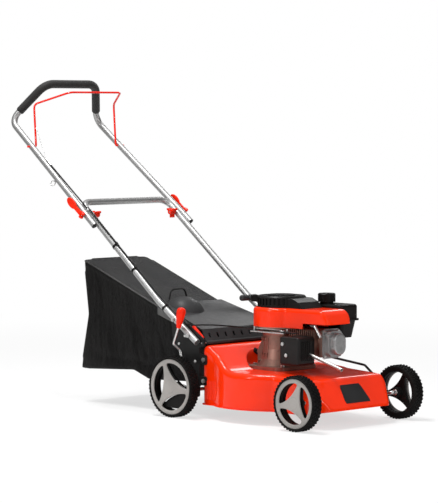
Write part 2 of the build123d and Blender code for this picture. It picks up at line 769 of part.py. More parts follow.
def make_starter_handle():
    """Cross handle with a short neck against the rope outlet."""
    neck = bar((ROPE_OUT, ROPE_Y, ROPE_Z), (ROPE_OUT - 14, ROPE_Y, ROPE_Z), 8)
    middle = ROPE_OUT - 20
    grip = bar((middle, ROPE_Y - 38, ROPE_Z), (middle, ROPE_Y + 38, ROPE_Z), 10)
    grip = fillet(grip.edges().filter_by(GeomType.CIRCLE), 6)
    return neck + grip - bar((ROPE_OUT + 1, ROPE_Y, ROPE_Z), (ROPE_OUT - 3, ROPE_Y, ROPE_Z), ROPE_R + SEAT)


TANK_X = fore(126)
TANK_Y = 113.0
TANK_CLEAR = 19.0
NECK_TOP = 393.6
NECK_X = TANK_X - 16
NECK_Y = TANK_Y - 15


def make_fuel_tank():
    """Two welded plastic halves with a seam rim, a filler neck and a mounting lug."""
    upper = Pos(TANK_X, TANK_Y, 350.5) * Box(146, 88, 53)
    upper = fillet(upper.edges().filter_by(Axis.Z), 16)
    upper = fillet(upper.faces().sort_by(Axis.Z)[-1].edges(), 9)
    rim = extrude(Pos(TANK_X, TANK_Y, 324) * RectangleRounded(156, 98, 18), 6)
    lower = loft(
        [
            Pos(TANK_X, TANK_Y, 324) * RectangleRounded(138, 82, 16),
            Pos(TANK_X, TANK_Y, 268) * RectangleRounded(118, 66, 16),
        ]
    )
    tank = upper + rim + lower
    cavity = Pos(TANK_X, TANK_Y, 324) * Box(98, 52, 92)
    tank -= cavity
    neck = Pos(NECK_X, NECK_Y, 0)
    tank += neck * Pos(0, 0, (372 + NECK_TOP) / 2) * Cylinder(22, NECK_TOP - 372)
    tank -= neck * Pos(0, 0, 385) * Cylinder(17, 40)
    lug = block(TANK_X - 20, TANK_X + 10, FIN_HALF_Y, TANK_Y - 30, 274, 292)
    return tank + lug - engine_disc(SHROUD_R + TANK_CLEAR, 200, 500)


def make_fuel_cap():
    """Ribbed cap over the neck."""
    cap = Pos(0, 0, 397) * Cylinder(29, 28)
    cap = chamfer(cap.faces().sort_by(Axis.Z)[-1].edges(), 3)
    for n in range(18):
        cap -= Rot(0, 0, n * 20) * (Pos(30, 0, 394) * Box(4, 4, 20))
    cap -= Pos(0, 0, (380 + NECK_TOP + SEAT) / 2) * Cylinder(22 + SEAT, NECK_TOP + SEAT - 380)
    return Pos(NECK_X, NECK_Y, 0) * cap


def make_carburettor():
    """Intake pipe, body and float bowl under the tank."""
    x, z = fore(84), 240.0
    pipe = bar((x, FIN_HALF_Y, z), (x, 66, z), 11)
    body = block(x - 20, x + 20, 66, 104, z - 18, z + 20)
    bowl = Pos(x, 85, z - 28) * Cylinder(17, 22)
    return pipe + body + bowl


def make_air_cleaner():
    """Filter box beside the crankcase, joined to the carburettor."""
    box = rounded_box(fore(-66), fore(60), 150, 84, 205, 300, 14, 8)
    for n in range(5):
        box -= block(fore(-50 + n * 22), fore(-40 + n * 22), 147, 152, 222, 284)
    duct = bar((fore(58), 96, 240), (fore(64), 96, 240), 8)
    return box + duct


HEAD_SIDE = -FIN_HALF_Y + 6
PLUG_LOW = (fore(222), -FIN_HALF_Y - 6.5, 280.0)
PLUG_TOP = (fore(196), -FIN_HALF_Y - 6.5, 317.0)


def make_spark_plug():
    """Spark plug and its metal-sleeved lead end, beside the cylinder head."""
    plug = bar(PLUG_LOW, PLUG_TOP, 6)
    stub = bar((fore(210), PLUG_LOW[1], 288), (fore(210), HEAD_SIDE, 288), 4)
    return plug + stub


def make_engine_bolts():
    """Foot bolts, valve cover bolts and muffler bolts."""
    bolts = []
    foot_top = DECK_TOP + FLANGE_THICK
    for x, y in ENGINE_BOLTS:
        bolts.append(hexagon_bolt((x, y, foot_top), (0, 0, -1), ENGINE_BOLT_R, FLANGE_THICK + 8, 7.5, 6))
    for y, z in COVER_BOLTS:
        bolts.append(hexagon_bolt((fore(HEAD_FRONT + 5), y, z), (-1, 0, 0), 3, 5, 5.5, 4))
    for x, z in MUFFLER_BOLTS:
        bolts.append(hexagon_bolt((x, MUFFLER[2], z), (0, 1, 0), 3, 11, 6.5, 4))
    return bolts


BRAKE_Z = 291.0
BRAKE_ARM = 20.0
CABLE_END = (fore(-28), -97.0, 299.0)
BRAKE_PIVOT = (fore(96), CABLE_END[1] + BRAKE_ARM)
BRAKE_PIN_R = 4.0
LINK_R = 1.2
LINK_BORE_R = 1.9
LINK_DEPTH = 14.0


def link_bore():
    """The way of the pull link through the anchor and into the cable's end."""
    x, y, z = CABLE_END
    return bar((x - LINK_DEPTH, y, z), (x + 10, y, z), LINK_BORE_R)


def make_brake_bracket(case):
    """Plate on the crankcase with the cable's anchor and the brake lever's pin."""
    plate = block(fore(-40), fore(108), -108, -52, BRAKE_Z - 3, BRAKE_Z)
    plate -= case
    plate = plate.solids().sort_by(SortBy.VOLUME)[-1]
    tab = block(CABLE_END[0], CABLE_END[0] + 4, -104, -90, BRAKE_Z, CABLE_END[2] + 7) - link_bore()
    pin = bar((*BRAKE_PIVOT, BRAKE_Z), (*BRAKE_PIVOT, BRAKE_Z + 10), BRAKE_PIN_R)
    return plate + tab + pin


BRAKE_ARM_TOP = BRAKE_Z + SEAT + 3.5
EYE_R = 7.0
EYE_BORE_R = 4.2


def make_brake_lever():
    """Flat lever on its pin: a short arm with a stud for the link, and a long forward arm."""
    x, y = BRAKE_PIVOT
    z = BRAKE_Z + SEAT
    lever = block(x - 6, x + 6, y - BRAKE_ARM - 5, y + 6, z, BRAKE_ARM_TOP)
    lever += block(x, x + 62, y - BRAKE_ARM - 5, y - BRAKE_ARM + 6, z, BRAKE_ARM_TOP)
    lever += bar((x, y - BRAKE_ARM, z), (x, y - BRAKE_ARM, BRAKE_ARM_TOP + 5), 1.5)
    return lever - bar((x, y, 0), (x, y, 400), BRAKE_PIN_R + RUN)


def make_brake_link():
    """Pull link: a wire in the cable's end, with an eye around the lever's stud."""
    x, y = BRAKE_PIVOT[0], CABLE_END[1]
    low = BRAKE_ARM_TOP + AIR
    eye = bar((x, y, low), (x, y, low + 3), EYE_R)
    wire = bar((CABLE_END[0] - 2, y, CABLE_END[2]), (x - EYE_R + 1, y, CABLE_END[2]), LINK_R)
    neck = block(x - EYE_R - 4, x - EYE_R + 2, y - 2, y + 2, low, CABLE_END[2] + LINK_R)
    return eye + wire + neck - bar((x, y, low - 1), (x, y, low + 20), EYE_BORE_R)


# Handles: the lower one is a steel tube bolted to the plates, the upper one folds on it.
LEG_RUN = (LEG_TOP[0] - LEG_BEND[0], LEG_TOP[1] - LEG_BEND[1])
FOLD_X = back(524)
FOLD_Z = along(LEG_BEND, LEG_TOP, FOLD_X)
FOLD_LOW_Y = LEG_FOOT_Y + (LEG_TOP_Y - LEG_FOOT_Y) * (FOLD_X - LEG_BEND[0]) / LEG_RUN[0]
FOLD_UP_Y = FOLD_LOW_Y + 2 * TUBE_R + FOLD_GAP
GRIP_BEND = (back(940), GRIP_BEND_Y, 974.0)
GRIP_CORNER = (back(851), GRIP_CORNER_Y, 1101.5)
UPPER_FOOT = 58.0


def upper_leg(distance, rise=0, inward=0):
    """A point on the left upper leg, measured from the fold, above it and towards the middle."""
    start = Vector(FOLD_X, FOLD_UP_Y, FOLD_Z)
    way = (Vector(*GRIP_BEND) - start).normalized()
    normal = Vector(way.Z, 0, -way.X).normalized()
    return start + way * distance + normal * rise - Vector(0, inward, 0)


def lower_leg(x, rise=0):
    """A point on the left lower leg at x, and above it."""
    if x > LEG_BEND[0]:
        low, high, y = LEG_FOOT, LEG_BEND, LEG_FOOT_Y
    else:
        low, high = LEG_BEND, LEG_TOP
        y = LEG_FOOT_Y + (LEG_TOP_Y - LEG_FOOT_Y) * (x - low[0]) / (high[0] - low[0])
    way = Vector(high[0] - low[0], 0, high[1] - low[1]).normalized()
    return Vector(x, y, along(low, high, x)) + Vector(way.Z, 0, -way.X) * rise


def right(point):
    """The same point on the right-hand side."""
    return Vector(point.X, -point.Y, point.Z)


def make_lower_handle():
    """One bent tube: foot, gentle bend, leg and crossbar, and back down."""
    half = [
        (LEG_FOOT[0], LEG_FOOT_Y, LEG_FOOT[1]),
        (LEG_BEND[0], LEG_FOOT_Y, LEG_BEND[1]),
        (LEG_TOP[0], LEG_TOP_Y, LEG_TOP[1]),
    ]
    points = half + [(x, -y, z) for x, y, z in reversed(half)]
    tube = bent(points, [120, 36, 36, 120], TUBE_R, TUBE_R - TUBE_WALL)
    for x, z, shank in LEG_BOLTS:
        tube -= bar((x, -300, z), (x, 300, z), shank)
    return tube - bar((FOLD_X, -300, FOLD_Z), (FOLD_X, 300, FOLD_Z), CAM_BOLT_R + RUN)


BAIL_S = (FOLD_X - back(822)) / (FOLD_X - GRIP_BEND[0])


def bail_pivot():
    """Where the bail passes through the left leg."""
    start = Vector(FOLD_X, FOLD_UP_Y, FOLD_Z)
    return start + (Vector(*GRIP_BEND) - start) * BAIL_S


def make_upper_handle():
    """One bent tube: two legs, two corners at each side, and the crossbar."""
    foot = upper_leg(-UPPER_FOOT)
    half = [tuple(foot), GRIP_BEND, GRIP_CORNER]
    points = half + [(x, -y, z) for x, y, z in reversed(half)]
    tube = bent(points, [40, 60, 60, 40], TUBE_R, TUBE_R - TUBE_WALL)
    tube -= bar((FOLD_X, -300, FOLD_Z), (FOLD_X, 300, FOLD_Z), CAM_BOLT_R + RUN)
    at = bail_pivot()
    return tube - bar((at.X, -300, at.Z), (at.X, 300, at.Z), BAIL_R + RUN)


def make_foam():
    """Foam sleeve over the crossbar and both slanted sections."""
    bend, corner = Vector(*GRIP_BEND), Vector(*GRIP_CORNER)
    start = bend + (corner - bend).normalized() * 42
    half = [tuple(start), GRIP_CORNER]
    points = half + [(x, -y, z) for x, y, z in reversed(half)]
    return bent(points, 60, FOAM_R, TUBE_R + RUN)


BAIL_IN_Y = 190.0
BAIL_MID = (back(832), BAIL_IN_Y, 1030.0)
BAIL_FRONT = (back(722), 120.4, 1072.0)


def make_bail():
    """Bent rod whose ends pass through the legs."""
    at = bail_pivot()
    half = [(at.X, at.Y + TUBE_R + 8, at.Z), (at.X, BAIL_IN_Y, at.Z), BAIL_MID, BAIL_FRONT]
    points = half + [(x, -y, z) for x, y, z in reversed(half)]
    return bent(points, [6, 18, 30, 30, 18, 6], BAIL_R)


CABLE_RISE = TUBE_R + CLIP_WALL + CABLE_R + 0.1
FERRULE_TOP = 286.0
FERRULE_LOW = 252.0
FERRULE_R = 3.6
WIRE_R = 0.9


def make_bail_wire():
    """Bare inner wire from the bail's right leg to the cable's ferrule."""
    at = bail_pivot()
    share = 0.45
    x = at.X + (BAIL_MID[0] - at.X) * share + BAIL_R + WIRE_R + 0.2
    start = Vector(x, -BAIL_IN_Y, at.Z + (BAIL_MID[2] - at.Z) * share)
    end = right(upper_leg(FERRULE_TOP, CABLE_RISE))
    return bar(start, end + (start - end).normalized() * SEAT, WIRE_R)


def make_ferrule():
    """Metal end of the cable, with its foot on the leg."""
    top = right(upper_leg(FERRULE_TOP, CABLE_RISE))
    low = right(upper_leg(FERRULE_LOW, CABLE_RISE))
    foot = right(upper_leg((FERRULE_TOP + FERRULE_LOW) / 2, TUBE_R + 0.1))
    mid = right(upper_leg((FERRULE_TOP + FERRULE_LOW) / 2, CABLE_RISE))
    return bar(low, top, FERRULE_R) + bar(foot, mid, 2.5)


CABLE_SPLIT = 18.0
CABLE_Y = 211.6
CABLE_BESIDE = 2 * CABLE_R + 0.7


def make_cable_upper():
    """Sheathed cable from the ferrule down to the fold, where it ends beside the lower run."""
    start = right(upper_leg(FERRULE_LOW, CABLE_RISE))
    end = right(upper_leg(CABLE_SPLIT, CABLE_RISE))
    return bar(start, (end.X, -CABLE_Y - CABLE_BESIDE, end.Z), CABLE_R)


def cable_seat(x):
    """A point of the lower cable, above the right leg at x."""
    point = lower_leg(x, CABLE_RISE)
    return Vector(point.X, -CABLE_Y, point.Z)


def make_cable_lower():
    """Sheathed cable from the fold down the right leg and over to the engine."""
    points = [tuple(cable_seat(x)) for x in (FOLD_X - 16, LEG_BEND[0], back(62))]
    straight = (CABLE_END[0] - 40, CABLE_END[1], CABLE_END[2])
    points += [(back(-34), -190, 309), straight, CABLE_END]
    return bent(points, [160, 90, 60, 45], CABLE_R) - link_bore()


def make_cable_clips():
    """Bands around the lower right leg that hold the cable."""
    clips = []
    for d in (400, 306, 156):
        here, there, cable = right(lower_leg(back(d))), right(lower_leg(back(d) + 4)), cable_seat(back(d))
        plane = Plane(origin=here, z_dir=there - here)
        over = Plane(origin=cable, z_dir=there - here)
        band = extrude(plane * Circle(TUBE_R + CLIP_WALL), 8)
        band += extrude(over * Circle(CABLE_R + CLIP_WALL + 0.8), 8)
        band -= extrude(plane * Circle(TUBE_R + RUN), 8)
        clips.append(band - extrude(over * Circle(CABLE_R + SEAT), 8))
    return clips


def make_rope_guide():
    """Wire loop on the right leg that parks the starter rope."""
    loop_r, wire_r = 9.0, 1.8
    out = TUBE_R + wire_r + loop_r
    middle = right(upper_leg(196, -0.86 * out, -0.5 * out))
    way = (right(upper_leg(200)) - right(upper_leg(196))).normalized()
    side = (right(upper_leg(196)) - middle).normalized()
    loop = Plane(origin=middle, x_dir=side, z_dir=side.cross(way)) * Torus(loop_r, wire_r)
    stem = bar(middle + side * (loop_r - 0.5), middle + side * (out - TUBE_R - RUN), wire_r)
    return loop + stem


# Each cam lever clamps the fold: a cross-pinned bolt runs through both tubes to a knob.
def cam_plane():
    """Left lever's place: along the leg, the outside up."""
    way = upper_leg(100) - upper_leg(0)
    return Plane(
        origin=(FOLD_X, FOLD_UP_Y + TUBE_R + CAM_OUT, FOLD_Z), x_dir=(way.X, 0, way.Z), z_dir=(0, 1, 0)
    )


def cam_block(x0, x1, half, z0, z1):
    """A block in the lever's own directions."""
    return cam_plane() * Pos((x0 + x1) / 2, 0, (z0 + z1) / 2) * Box(x1 - x0, 2 * half, z1 - z0)


def cam_round(radius, half):
    """A round bar along the lever's cross pin."""
    return cam_plane() * Rot(90, 0, 0) * Cylinder(radius, 2 * half)


def make_cam_lever():
    """Forked head, neck and oval paddle."""
    head = cam_round(CAM_R, 10)
    neck = cam_block(2, 52, 6.5, -3, 3.5)
    paddle = extrude(cam_plane() * Pos(64, 0, -3) * Ellipse(26, 14), 6.5)
    paddle = fillet(paddle.edges(), 2)
    lever = head + neck + paddle
    lever -= cam_block(-20, 8, CAM_BOLT_R + AIR, -20, 20)
    return lever - cam_round(CAM_PIN_R + RUN, 20)


KNOB_IN = 22.0


def make_cam_bolt():
    """Bolt with its cross pin."""
    outside = FOLD_UP_Y + TUBE_R + CAM_OUT
    inside = FOLD_LOW_Y - TUBE_R - KNOB_IN
    return bar((FOLD_X, outside, FOLD_Z), (FOLD_X, inside, FOLD_Z), CAM_BOLT_R) + cam_round(CAM_PIN_R, 10)


def make_cam_knob():
    """Three-winged knob on the bolt's inner end."""
    face = FOLD_LOW_Y - TUBE_R - AIR
    plane = Plane(origin=(FOLD_X, face, FOLD_Z), z_dir=(0, -1, 0))
    knob = extrude(plane * Circle(9), KNOB_IN)
    for turn in (0, 120, 240):
        wing = extrude(plane * Rot(0, 0, turn) * Pos(10, 0) * RectangleRounded(22, 7, 3), KNOB_IN - 4)
        knob += wing
    return knob - bar((FOLD_X, face + 5, FOLD_Z), (FOLD_X, 0, FOLD_Z), CAM_BOLT_R)


# Rear flap: a moulded cover hinged on a rod, with a slotted apron and a hump.
FLAP_KNEE = (back(15), 290.0)
FLAP_TAIL = (back(243), 361.0)


def flap_line(drop):
    """Points of the flap's section, a distance below its top face."""
    return [
        (FLAP_HINGE[0] + 4, FLAP_HINGE[1] - 2),
        (FLAP_KNEE[0] + drop * 0.4, FLAP_KNEE[1] - drop),
        (FLAP_TAIL[0], FLAP_TAIL[1] - drop),
    ]


HUMP_ALONG = 196.0
HUMP_SIDE = -64.0
HUMP_R = 73.0
HUMP_HIGH = 33.0


def flap_hump(radius):
    """Ball whose cap is the round hump on the flap's slope, over the bag's carrying loop."""
    slope = Vector(FLAP_TAIL[0] - FLAP_KNEE[0], 0, FLAP_TAIL[1] - FLAP_KNEE[1]).normalized()
    normal = Vector(-slope.Z, 0, slope.X) * -1
    middle = Vector(FLAP_KNEE[0], HUMP_SIDE, FLAP_KNEE[1]) + slope * HUMP_ALONG
    return Pos(*(middle - normal * (HUMP_R - HUMP_HIGH))) * Rot(90, 0, 0) * Sphere(radius)


def make_flap():
    """Apron, sloped panel with a hump, and barrels around the hinge rod."""
    top = flap_line(0)
    under = flap_line(FLAP_THICK)
    slope = (FLAP_HINGE[0] - 1.5, FLAP_HINGE[1] - 2)
    section = [top[0], top[1], top[2], under[2], under[1], slope]
    panel = upright(section, -FLAP_HALF_FRONT, FLAP_HALF_FRONT)
    below = upright([slope, under[1], under[2], (FLAP_TAIL[0], 150), (FLAP_HINGE[0], 150)], -200, 200)
    hump = (flap_hump(HUMP_R) - below) & block(FLAP_TAIL[0], back(0), -150, 150, 200, 500)
    panel += hump
    panel -= flap_hump(HUMP_R - FLAP_THICK)
    for side in (1, -1):
        cut = extrude(
            make_face(
                Polyline(
                    (FLAP_KNEE[0], side * FLAP_HALF_FRONT, 0),
                    (FLAP_TAIL[0] - 10, side * FLAP_HALF_REAR, 0),
                    (FLAP_TAIL[0] - 10, side * 300, 0),
                    (FLAP_KNEE[0], side * 300, 0),
                    close=True,
                )
            ),
            amount=600,
            dir=(0, 0, 1),
        )
        panel -= cut
    for n in range(9):
        y = -152 + n * 38
        panel -= block(back(40), back(-20), y - 4, y + 4, 262, 276)
    x, z = FLAP_HINGE
    panel += bar((x, -FLAP_HALF_FRONT, z), (x, FLAP_HALF_FRONT, z), HINGE_R + 3)
    return panel - bar((x, -300, z), (x, 300, z), HINGE_R + RUN)


# Grass bag: fabric sack on a wire frame, with a plastic lid under the flap.
def bag_top(x, drop):
    """Z of the bag's lid at x, a distance below the flap."""
    return along(FLAP_KNEE, FLAP_TAIL, x) - FLAP_THICK - drop


LID_REAR = back(246)
LID_FRONT = back(30)
LID_DROP = 5.0
LID_THICK = 3.0
BAG_DIP = 13.0


def bag_outline(inset):
    """The sack's outline from the side, inset by its wall."""
    seam = LID_DROP + LID_THICK
    return [
        (back(20) + 2 * inset, 120 + inset),
        (back(20) + 2 * inset, bag_top(LID_FRONT, seam + BAG_DIP) - inset),
        (LID_FRONT, bag_top(LID_FRONT, seam + BAG_DIP) - inset),
        (LID_REAR, bag_top(LID_REAR, seam) - inset),
        (back(626) + inset, 497 - inset),
        (back(600) + inset, 307),
        (back(642) + inset, 113 + inset),
        (back(372), 128 + inset),
        (back(296), 101 + inset),
        (back(100), 108 + inset),
    ]


def make_bag():
    """Hollow sack, open towards the deck's outlet."""
    sack = upright(bag_outline(0), -BAG_HALF, BAG_HALF)
    room = upright(bag_outline(BAG_WALL), -BAG_HALF + BAG_WALL, BAG_HALF - BAG_WALL)
    return sack - room


def make_bag_lid():
    """Plastic lid on the sack's front, with a rail along each side."""
    section = [
        (LID_FRONT, bag_top(LID_FRONT, LID_DROP)),
        (LID_REAR, bag_top(LID_REAR, LID_DROP)),
        (LID_REAR, bag_top(LID_REAR, LID_DROP + LID_THICK)),
        (LID_FRONT, bag_top(LID_FRONT, LID_DROP + LID_THICK)),
    ]
    lid = upright(section, -BAG_HALF - 8, BAG_HALF + 8)
    rail = [
        (LID_FRONT - 70, bag_top(LID_FRONT - 70, LID_DROP)),
        (LID_REAR, bag_top(LID_REAR, LID_DROP)),
        (LID_REAR, bag_top(LID_REAR, LID_DROP + 26)),
        (LID_FRONT - 70, bag_top(LID_FRONT - 70, LID_DROP + 26)),
    ]
    for side in both_sides(upright(rail, BAG_HALF, BAG_HALF + 8)):
        lid += side
    return lid


def make_bag_frame():
    """Wire along the sack's upper edges inside it, and the carrying loop on top."""
    y = BAG_HALF - BAG_WALL - BAG_WIRE_R - SEAT
    rear_z = 497 - BAG_WALL - BAG_WIRE_R - 8
    front_z = bag_top(LID_REAR, LID_DROP + LID_THICK) - BAG_WALL - BAG_WIRE_R - 4
    front_x = LID_REAR - 4
    rear_x = back(612)
    half = [(front_x, y, front_z), (rear_x, y, rear_z)]
    frame = bent(half + [(x, -y, z) for x, y, z in reversed(half)], 30, BAG_WIRE_R)
    loop_x = back(288)
    roof = along((LID_REAR, bag_top(LID_REAR, LID_DROP + LID_THICK)), (back(626), 497), loop_x)
    loop = [
        (loop_x, -62, roof + 1.8),
        (loop_x, -52, roof + 36),
        (loop_x, 12, roof + 36),
        (loop_x, 22, roof + 1.8),
    ]
    return [frame, bent(loop, 20, BAG_WIRE_R)]


# Everything is made, moved to the origin under its middle, and written out.
CASE = make_crankcase()
PARTS = {
    "deck": make_deck(),
    "side_plates": both_sides(make_side_plate()),
    "handle_bolts": make_handle_bolts(),
    "axle_bushes": make_axle_bushes(),
    "flap_hinge_rod": bar(
        (FLAP_HINGE[0], -PLATE_OUT, FLAP_HINGE[1]), (FLAP_HINGE[0], PLATE_OUT, FLAP_HINGE[1]), HINGE_R
    ),
    "lower_handle": make_lower_handle(),
    "control_cable_lower": make_cable_lower(),
    "cable_clips": make_cable_clips(),
    "crankcase": CASE,
    "cylinder_block": make_cylinder(CASE),
    "valve_cover": make_valve_cover(),
    "muffler": make_muffler(),
    "exhaust_pipe": make_exhaust(),
    "blower_shroud": make_shroud(),
    "recoil_cover": make_recoil_cover(),
    "fuel_tank": make_fuel_tank(),
    "carburettor": make_carburettor(),
    "air_cleaner": make_air_cleaner(),
    "spark_plug": make_spark_plug(),
    "engine_bolts": make_engine_bolts(),
    "brake_bracket": make_brake_bracket(CASE),
    "starter_rope": make_starter_rope(),
    "rear_axle": make_axle(REAR_PIVOT, REAR_AXLE_X, REAR_WHEEL_R),
    "rear_height_lever": make_rear_lever(),
    "rear_lever_grip": make_rear_lever_grip(),
    "front_axle": make_axle(FRONT_PIVOT, FRONT_AXLE_X, FRONT_WHEEL_R),
    "front_height_lever": make_front_lever(),
    "upper_handle": make_upper_handle(),
    "foam_grip": make_foam(),
    "rope_guide": make_rope_guide(),
    "cable_ferrule": make_ferrule(),
    "control_cable_upper": make_cable_upper(),
    "cam_bolts": both_sides(make_cam_bolt()),
    "cam_knobs": both_sides(make_cam_knob()),
    "cam_lever_left": make_cam_lever(),
    "cam_lever_right": mirror(make_cam_lever(), about=Plane.XZ),
    "bail_lever": make_bail(),
    "bail_wire": make_bail_wire(),
    "brake_lever": make_brake_lever(),
    "brake_link": make_brake_link(),
    "rear_flap": make_flap(),
    "bag_fabric": make_bag(),
    "bag_frame": make_bag_frame(),
    "bag_lid": make_bag_lid(),
    "fuel_cap": make_fuel_cap(),
    "starter_handle": make_starter_handle(),
    "starter_drum": make_starter_drum(),
    "crankshaft": make_crankshaft(),
    "flywheel": make_flywheel(),
    "blade_boss": make_blade_boss(),
    "blade": make_blade(),
    "blade_bolt": make_blade_bolt(),
}

ENDS = (
    ("front", FRONT_AXLE_X, FRONT_WHEEL_R, FRONT_SPOKE_TURN),
    ("rear", REAR_AXLE_X, REAR_WHEEL_R, REAR_SPOKE_TURN),
)
for end, axle_x, radius, spoke_turn in ENDS:
    for kind, make in (("wheel", make_wheel), ("hub_cap", make_cap)):
        left = Pos(axle_x, WHEEL_Y, radius) * make(radius, spoke_turn)
        PARTS[f"{kind}_{end}_left"] = left
        PARTS[f"{kind}_{end}_right"] = mirror(left, about=Plane.XZ)

SOLIDS = {name: piece if isinstance(piece, list) else [piece] for name, piece in PARTS.items()}
LOW_X = min(s.bounding_box().min.X for group in SOLIDS.values() for s in group)
HIGH_X = max(s.bounding_box().max.X for group in SOLIDS.values() for s in group)
SHIFT = -(LOW_X + HIGH_X) / 2
print("shift along X", round(SHIFT, 3))

os.makedirs("parts", exist_ok=True)
for name, group in SOLIDS.items():
    solids = [solid for piece in group for solid in piece.solids()]
    export_step(Pos(SHIFT, 0, 0) * Compound(solids), f"parts/{name}.step")
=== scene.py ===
import math

import bmesh
import bpy
import numpy as np
from mathutils import Matrix, Vector, noise


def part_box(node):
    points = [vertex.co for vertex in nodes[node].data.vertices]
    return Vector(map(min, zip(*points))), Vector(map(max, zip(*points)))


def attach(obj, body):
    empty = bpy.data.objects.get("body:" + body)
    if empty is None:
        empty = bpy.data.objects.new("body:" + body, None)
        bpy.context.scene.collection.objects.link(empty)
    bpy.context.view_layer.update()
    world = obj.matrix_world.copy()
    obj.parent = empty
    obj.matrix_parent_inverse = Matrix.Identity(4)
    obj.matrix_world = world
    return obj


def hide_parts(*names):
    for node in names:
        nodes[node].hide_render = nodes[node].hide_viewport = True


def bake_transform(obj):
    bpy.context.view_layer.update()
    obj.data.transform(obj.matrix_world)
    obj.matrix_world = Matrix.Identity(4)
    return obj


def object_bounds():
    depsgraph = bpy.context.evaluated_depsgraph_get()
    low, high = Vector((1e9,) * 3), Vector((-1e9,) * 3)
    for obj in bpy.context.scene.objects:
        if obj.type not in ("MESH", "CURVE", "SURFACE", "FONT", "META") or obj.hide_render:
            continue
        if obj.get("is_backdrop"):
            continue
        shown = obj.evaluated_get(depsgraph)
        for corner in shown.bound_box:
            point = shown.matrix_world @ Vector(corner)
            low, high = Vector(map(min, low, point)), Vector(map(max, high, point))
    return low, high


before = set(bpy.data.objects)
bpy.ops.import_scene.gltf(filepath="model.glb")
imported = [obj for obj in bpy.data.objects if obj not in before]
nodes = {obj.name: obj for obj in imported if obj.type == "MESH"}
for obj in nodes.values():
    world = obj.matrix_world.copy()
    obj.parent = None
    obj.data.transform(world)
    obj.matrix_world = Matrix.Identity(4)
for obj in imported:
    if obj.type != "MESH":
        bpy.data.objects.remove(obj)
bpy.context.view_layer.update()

# The studio: pale paper under soft boxes, and the camera where the photograph was taken from,
# in front of the right front wheel, a little above the engine and some nine metres away.
scene = bpy.context.scene
scene.view_settings.view_transform = "Standard"
aim = Vector((0.0741, 0.0, 0.53589))
camera = bpy.data.objects.new("camera", bpy.data.cameras.new("camera"))
camera.data.lens = 186.36
camera.data.sensor_width = 36.0
camera.data.clip_end = 200.0
camera.location = (6.21847, -6.2117, 1.0156)
camera.rotation_euler = (aim - camera.location).to_track_quat("-Z", "Y").to_euler()
scene.collection.objects.link(camera)
scene.camera = camera


def soft_box(name, place, size, power):
    lamp = bpy.data.lights.new(name, "AREA")
    lamp.shape = "RECTANGLE"
    lamp.size, lamp.size_y = size
    lamp.energy = power
    box = bpy.data.objects.new(name, lamp)
    box.location = place
    box.rotation_euler = (Vector((0.1, 0.0, 0.4)) - box.location).to_track_quat("-Z", "Y").to_euler()
    scene.collection.objects.link(box)


soft_box("box_above", (-0.3, -0.6, 3.4), (1.8, 0.5), 96.0)
soft_box("box_left", (-0.6, -4.4, 2.2), (0.35, 2.4), 66.0)
soft_box("box_front", (4.8, -1.2, 2.0), (0.3, 2.0), 60.0)
soft_box("box_far", (-1.8, 3.6, 2.6), (1.4, 0.8), 20.0)


class Tone:
    """One socket of a node tree: sums on it add Math nodes, and make() adds any other node."""

    def __init__(self, tree, socket=None):
        self.tree, self.socket = tree, socket

    def make(self, kind, settings=None, out=0, **values):
        node = self.tree.nodes.new(kind)
        for name, value in (settings or {}).items():
            setattr(node, name, value)
        for name, value in values.items():
            key = int(name[1:]) if name[0] == "_" else name.replace("_", " ")
            if isinstance(value, Tone):
                self.tree.links.new(value.socket, node.inputs[key])
            else:
                node.inputs[key].default_value = value
        return Tone(self.tree, node.outputs[out])

    def sum(self, operation, a, b=0.0):
        return self.make("ShaderNodeMath", {"operation": operation}, _0=a, _1=b)

    def __add__(self, other):
        return self.sum("ADD", self, other)

    def __radd__(self, other):
        return self.sum("ADD", other, self)

    def __sub__(self, other):
        return self.sum("SUBTRACT", self, other)

    def __rsub__(self, other):
        return self.sum("SUBTRACT", other, self)

    def __mul__(self, other):
        return self.sum("MULTIPLY", self, other)

    def __rmul__(self, other):
        return self.sum("MULTIPLY", other, self)

    def __truediv__(self, other):
        return self.sum("DIVIDE", self, other)

    def place(self):
        return self.make("ShaderNodeTexCoord", out=3)

    def along(self, axis):
        return self.make("ShaderNodeSeparateXYZ", out="XYZ".index(axis), Vector=self)

    def cloud(self, where, scale, detail=2.0, rough=0.5):
        return self.make("ShaderNodeTexNoise", Vector=where, Scale=scale, Detail=detail, Roughness=rough)

    def stretched(self, where, scale):
        return self.make("ShaderNodeMapping", Vector=where, Scale=scale)

    def between(self, low, high):
        smooth = {"interpolation_type": "SMOOTHSTEP"}
        return self.make("ShaderNodeMapRange", smooth, Value=self, From_Min=low, From_Max=high)

    def blend(self, a, b):
        return self.make("ShaderNodeMix", {"data_type": "RGBA"}, 2, _0=self, _6=a, _7=b)

    def bump(self, height, strength, depth, edge=0.0):
        soft = {"Normal": self.make("ShaderNodeBevel", {"samples": 4}, Radius=edge)} if edge else {}
        return self.make("ShaderNodeBump", Height=height, Strength=strength, Distance=depth, **soft)

    def rays(self):
        """Whether a ray is seen by the camera, mirrored, or sent through something clear."""
        return [self.make("ShaderNodeLightPath", out=out) for out in (0, 3, 6)]


def new_finish(name, **constants):
    """A finish with its shader's constant values, and a Tone to build the rest from."""
    finish = bpy.data.materials.new(name)
    finish.use_nodes = True
    shader = finish.node_tree.nodes["Principled BSDF"]
    for socket, value in constants.items():
        shader.inputs[socket.replace("_", " ")].default_value = value
    return finish, Tone(finish.node_tree)


def feed(finish, **tones):
    shader = finish.node_tree.nodes["Principled BSDF"]
    for socket, tone in tones.items():
        finish.node_tree.links.new(tone.socket, shader.inputs[socket.replace("_", " ")])


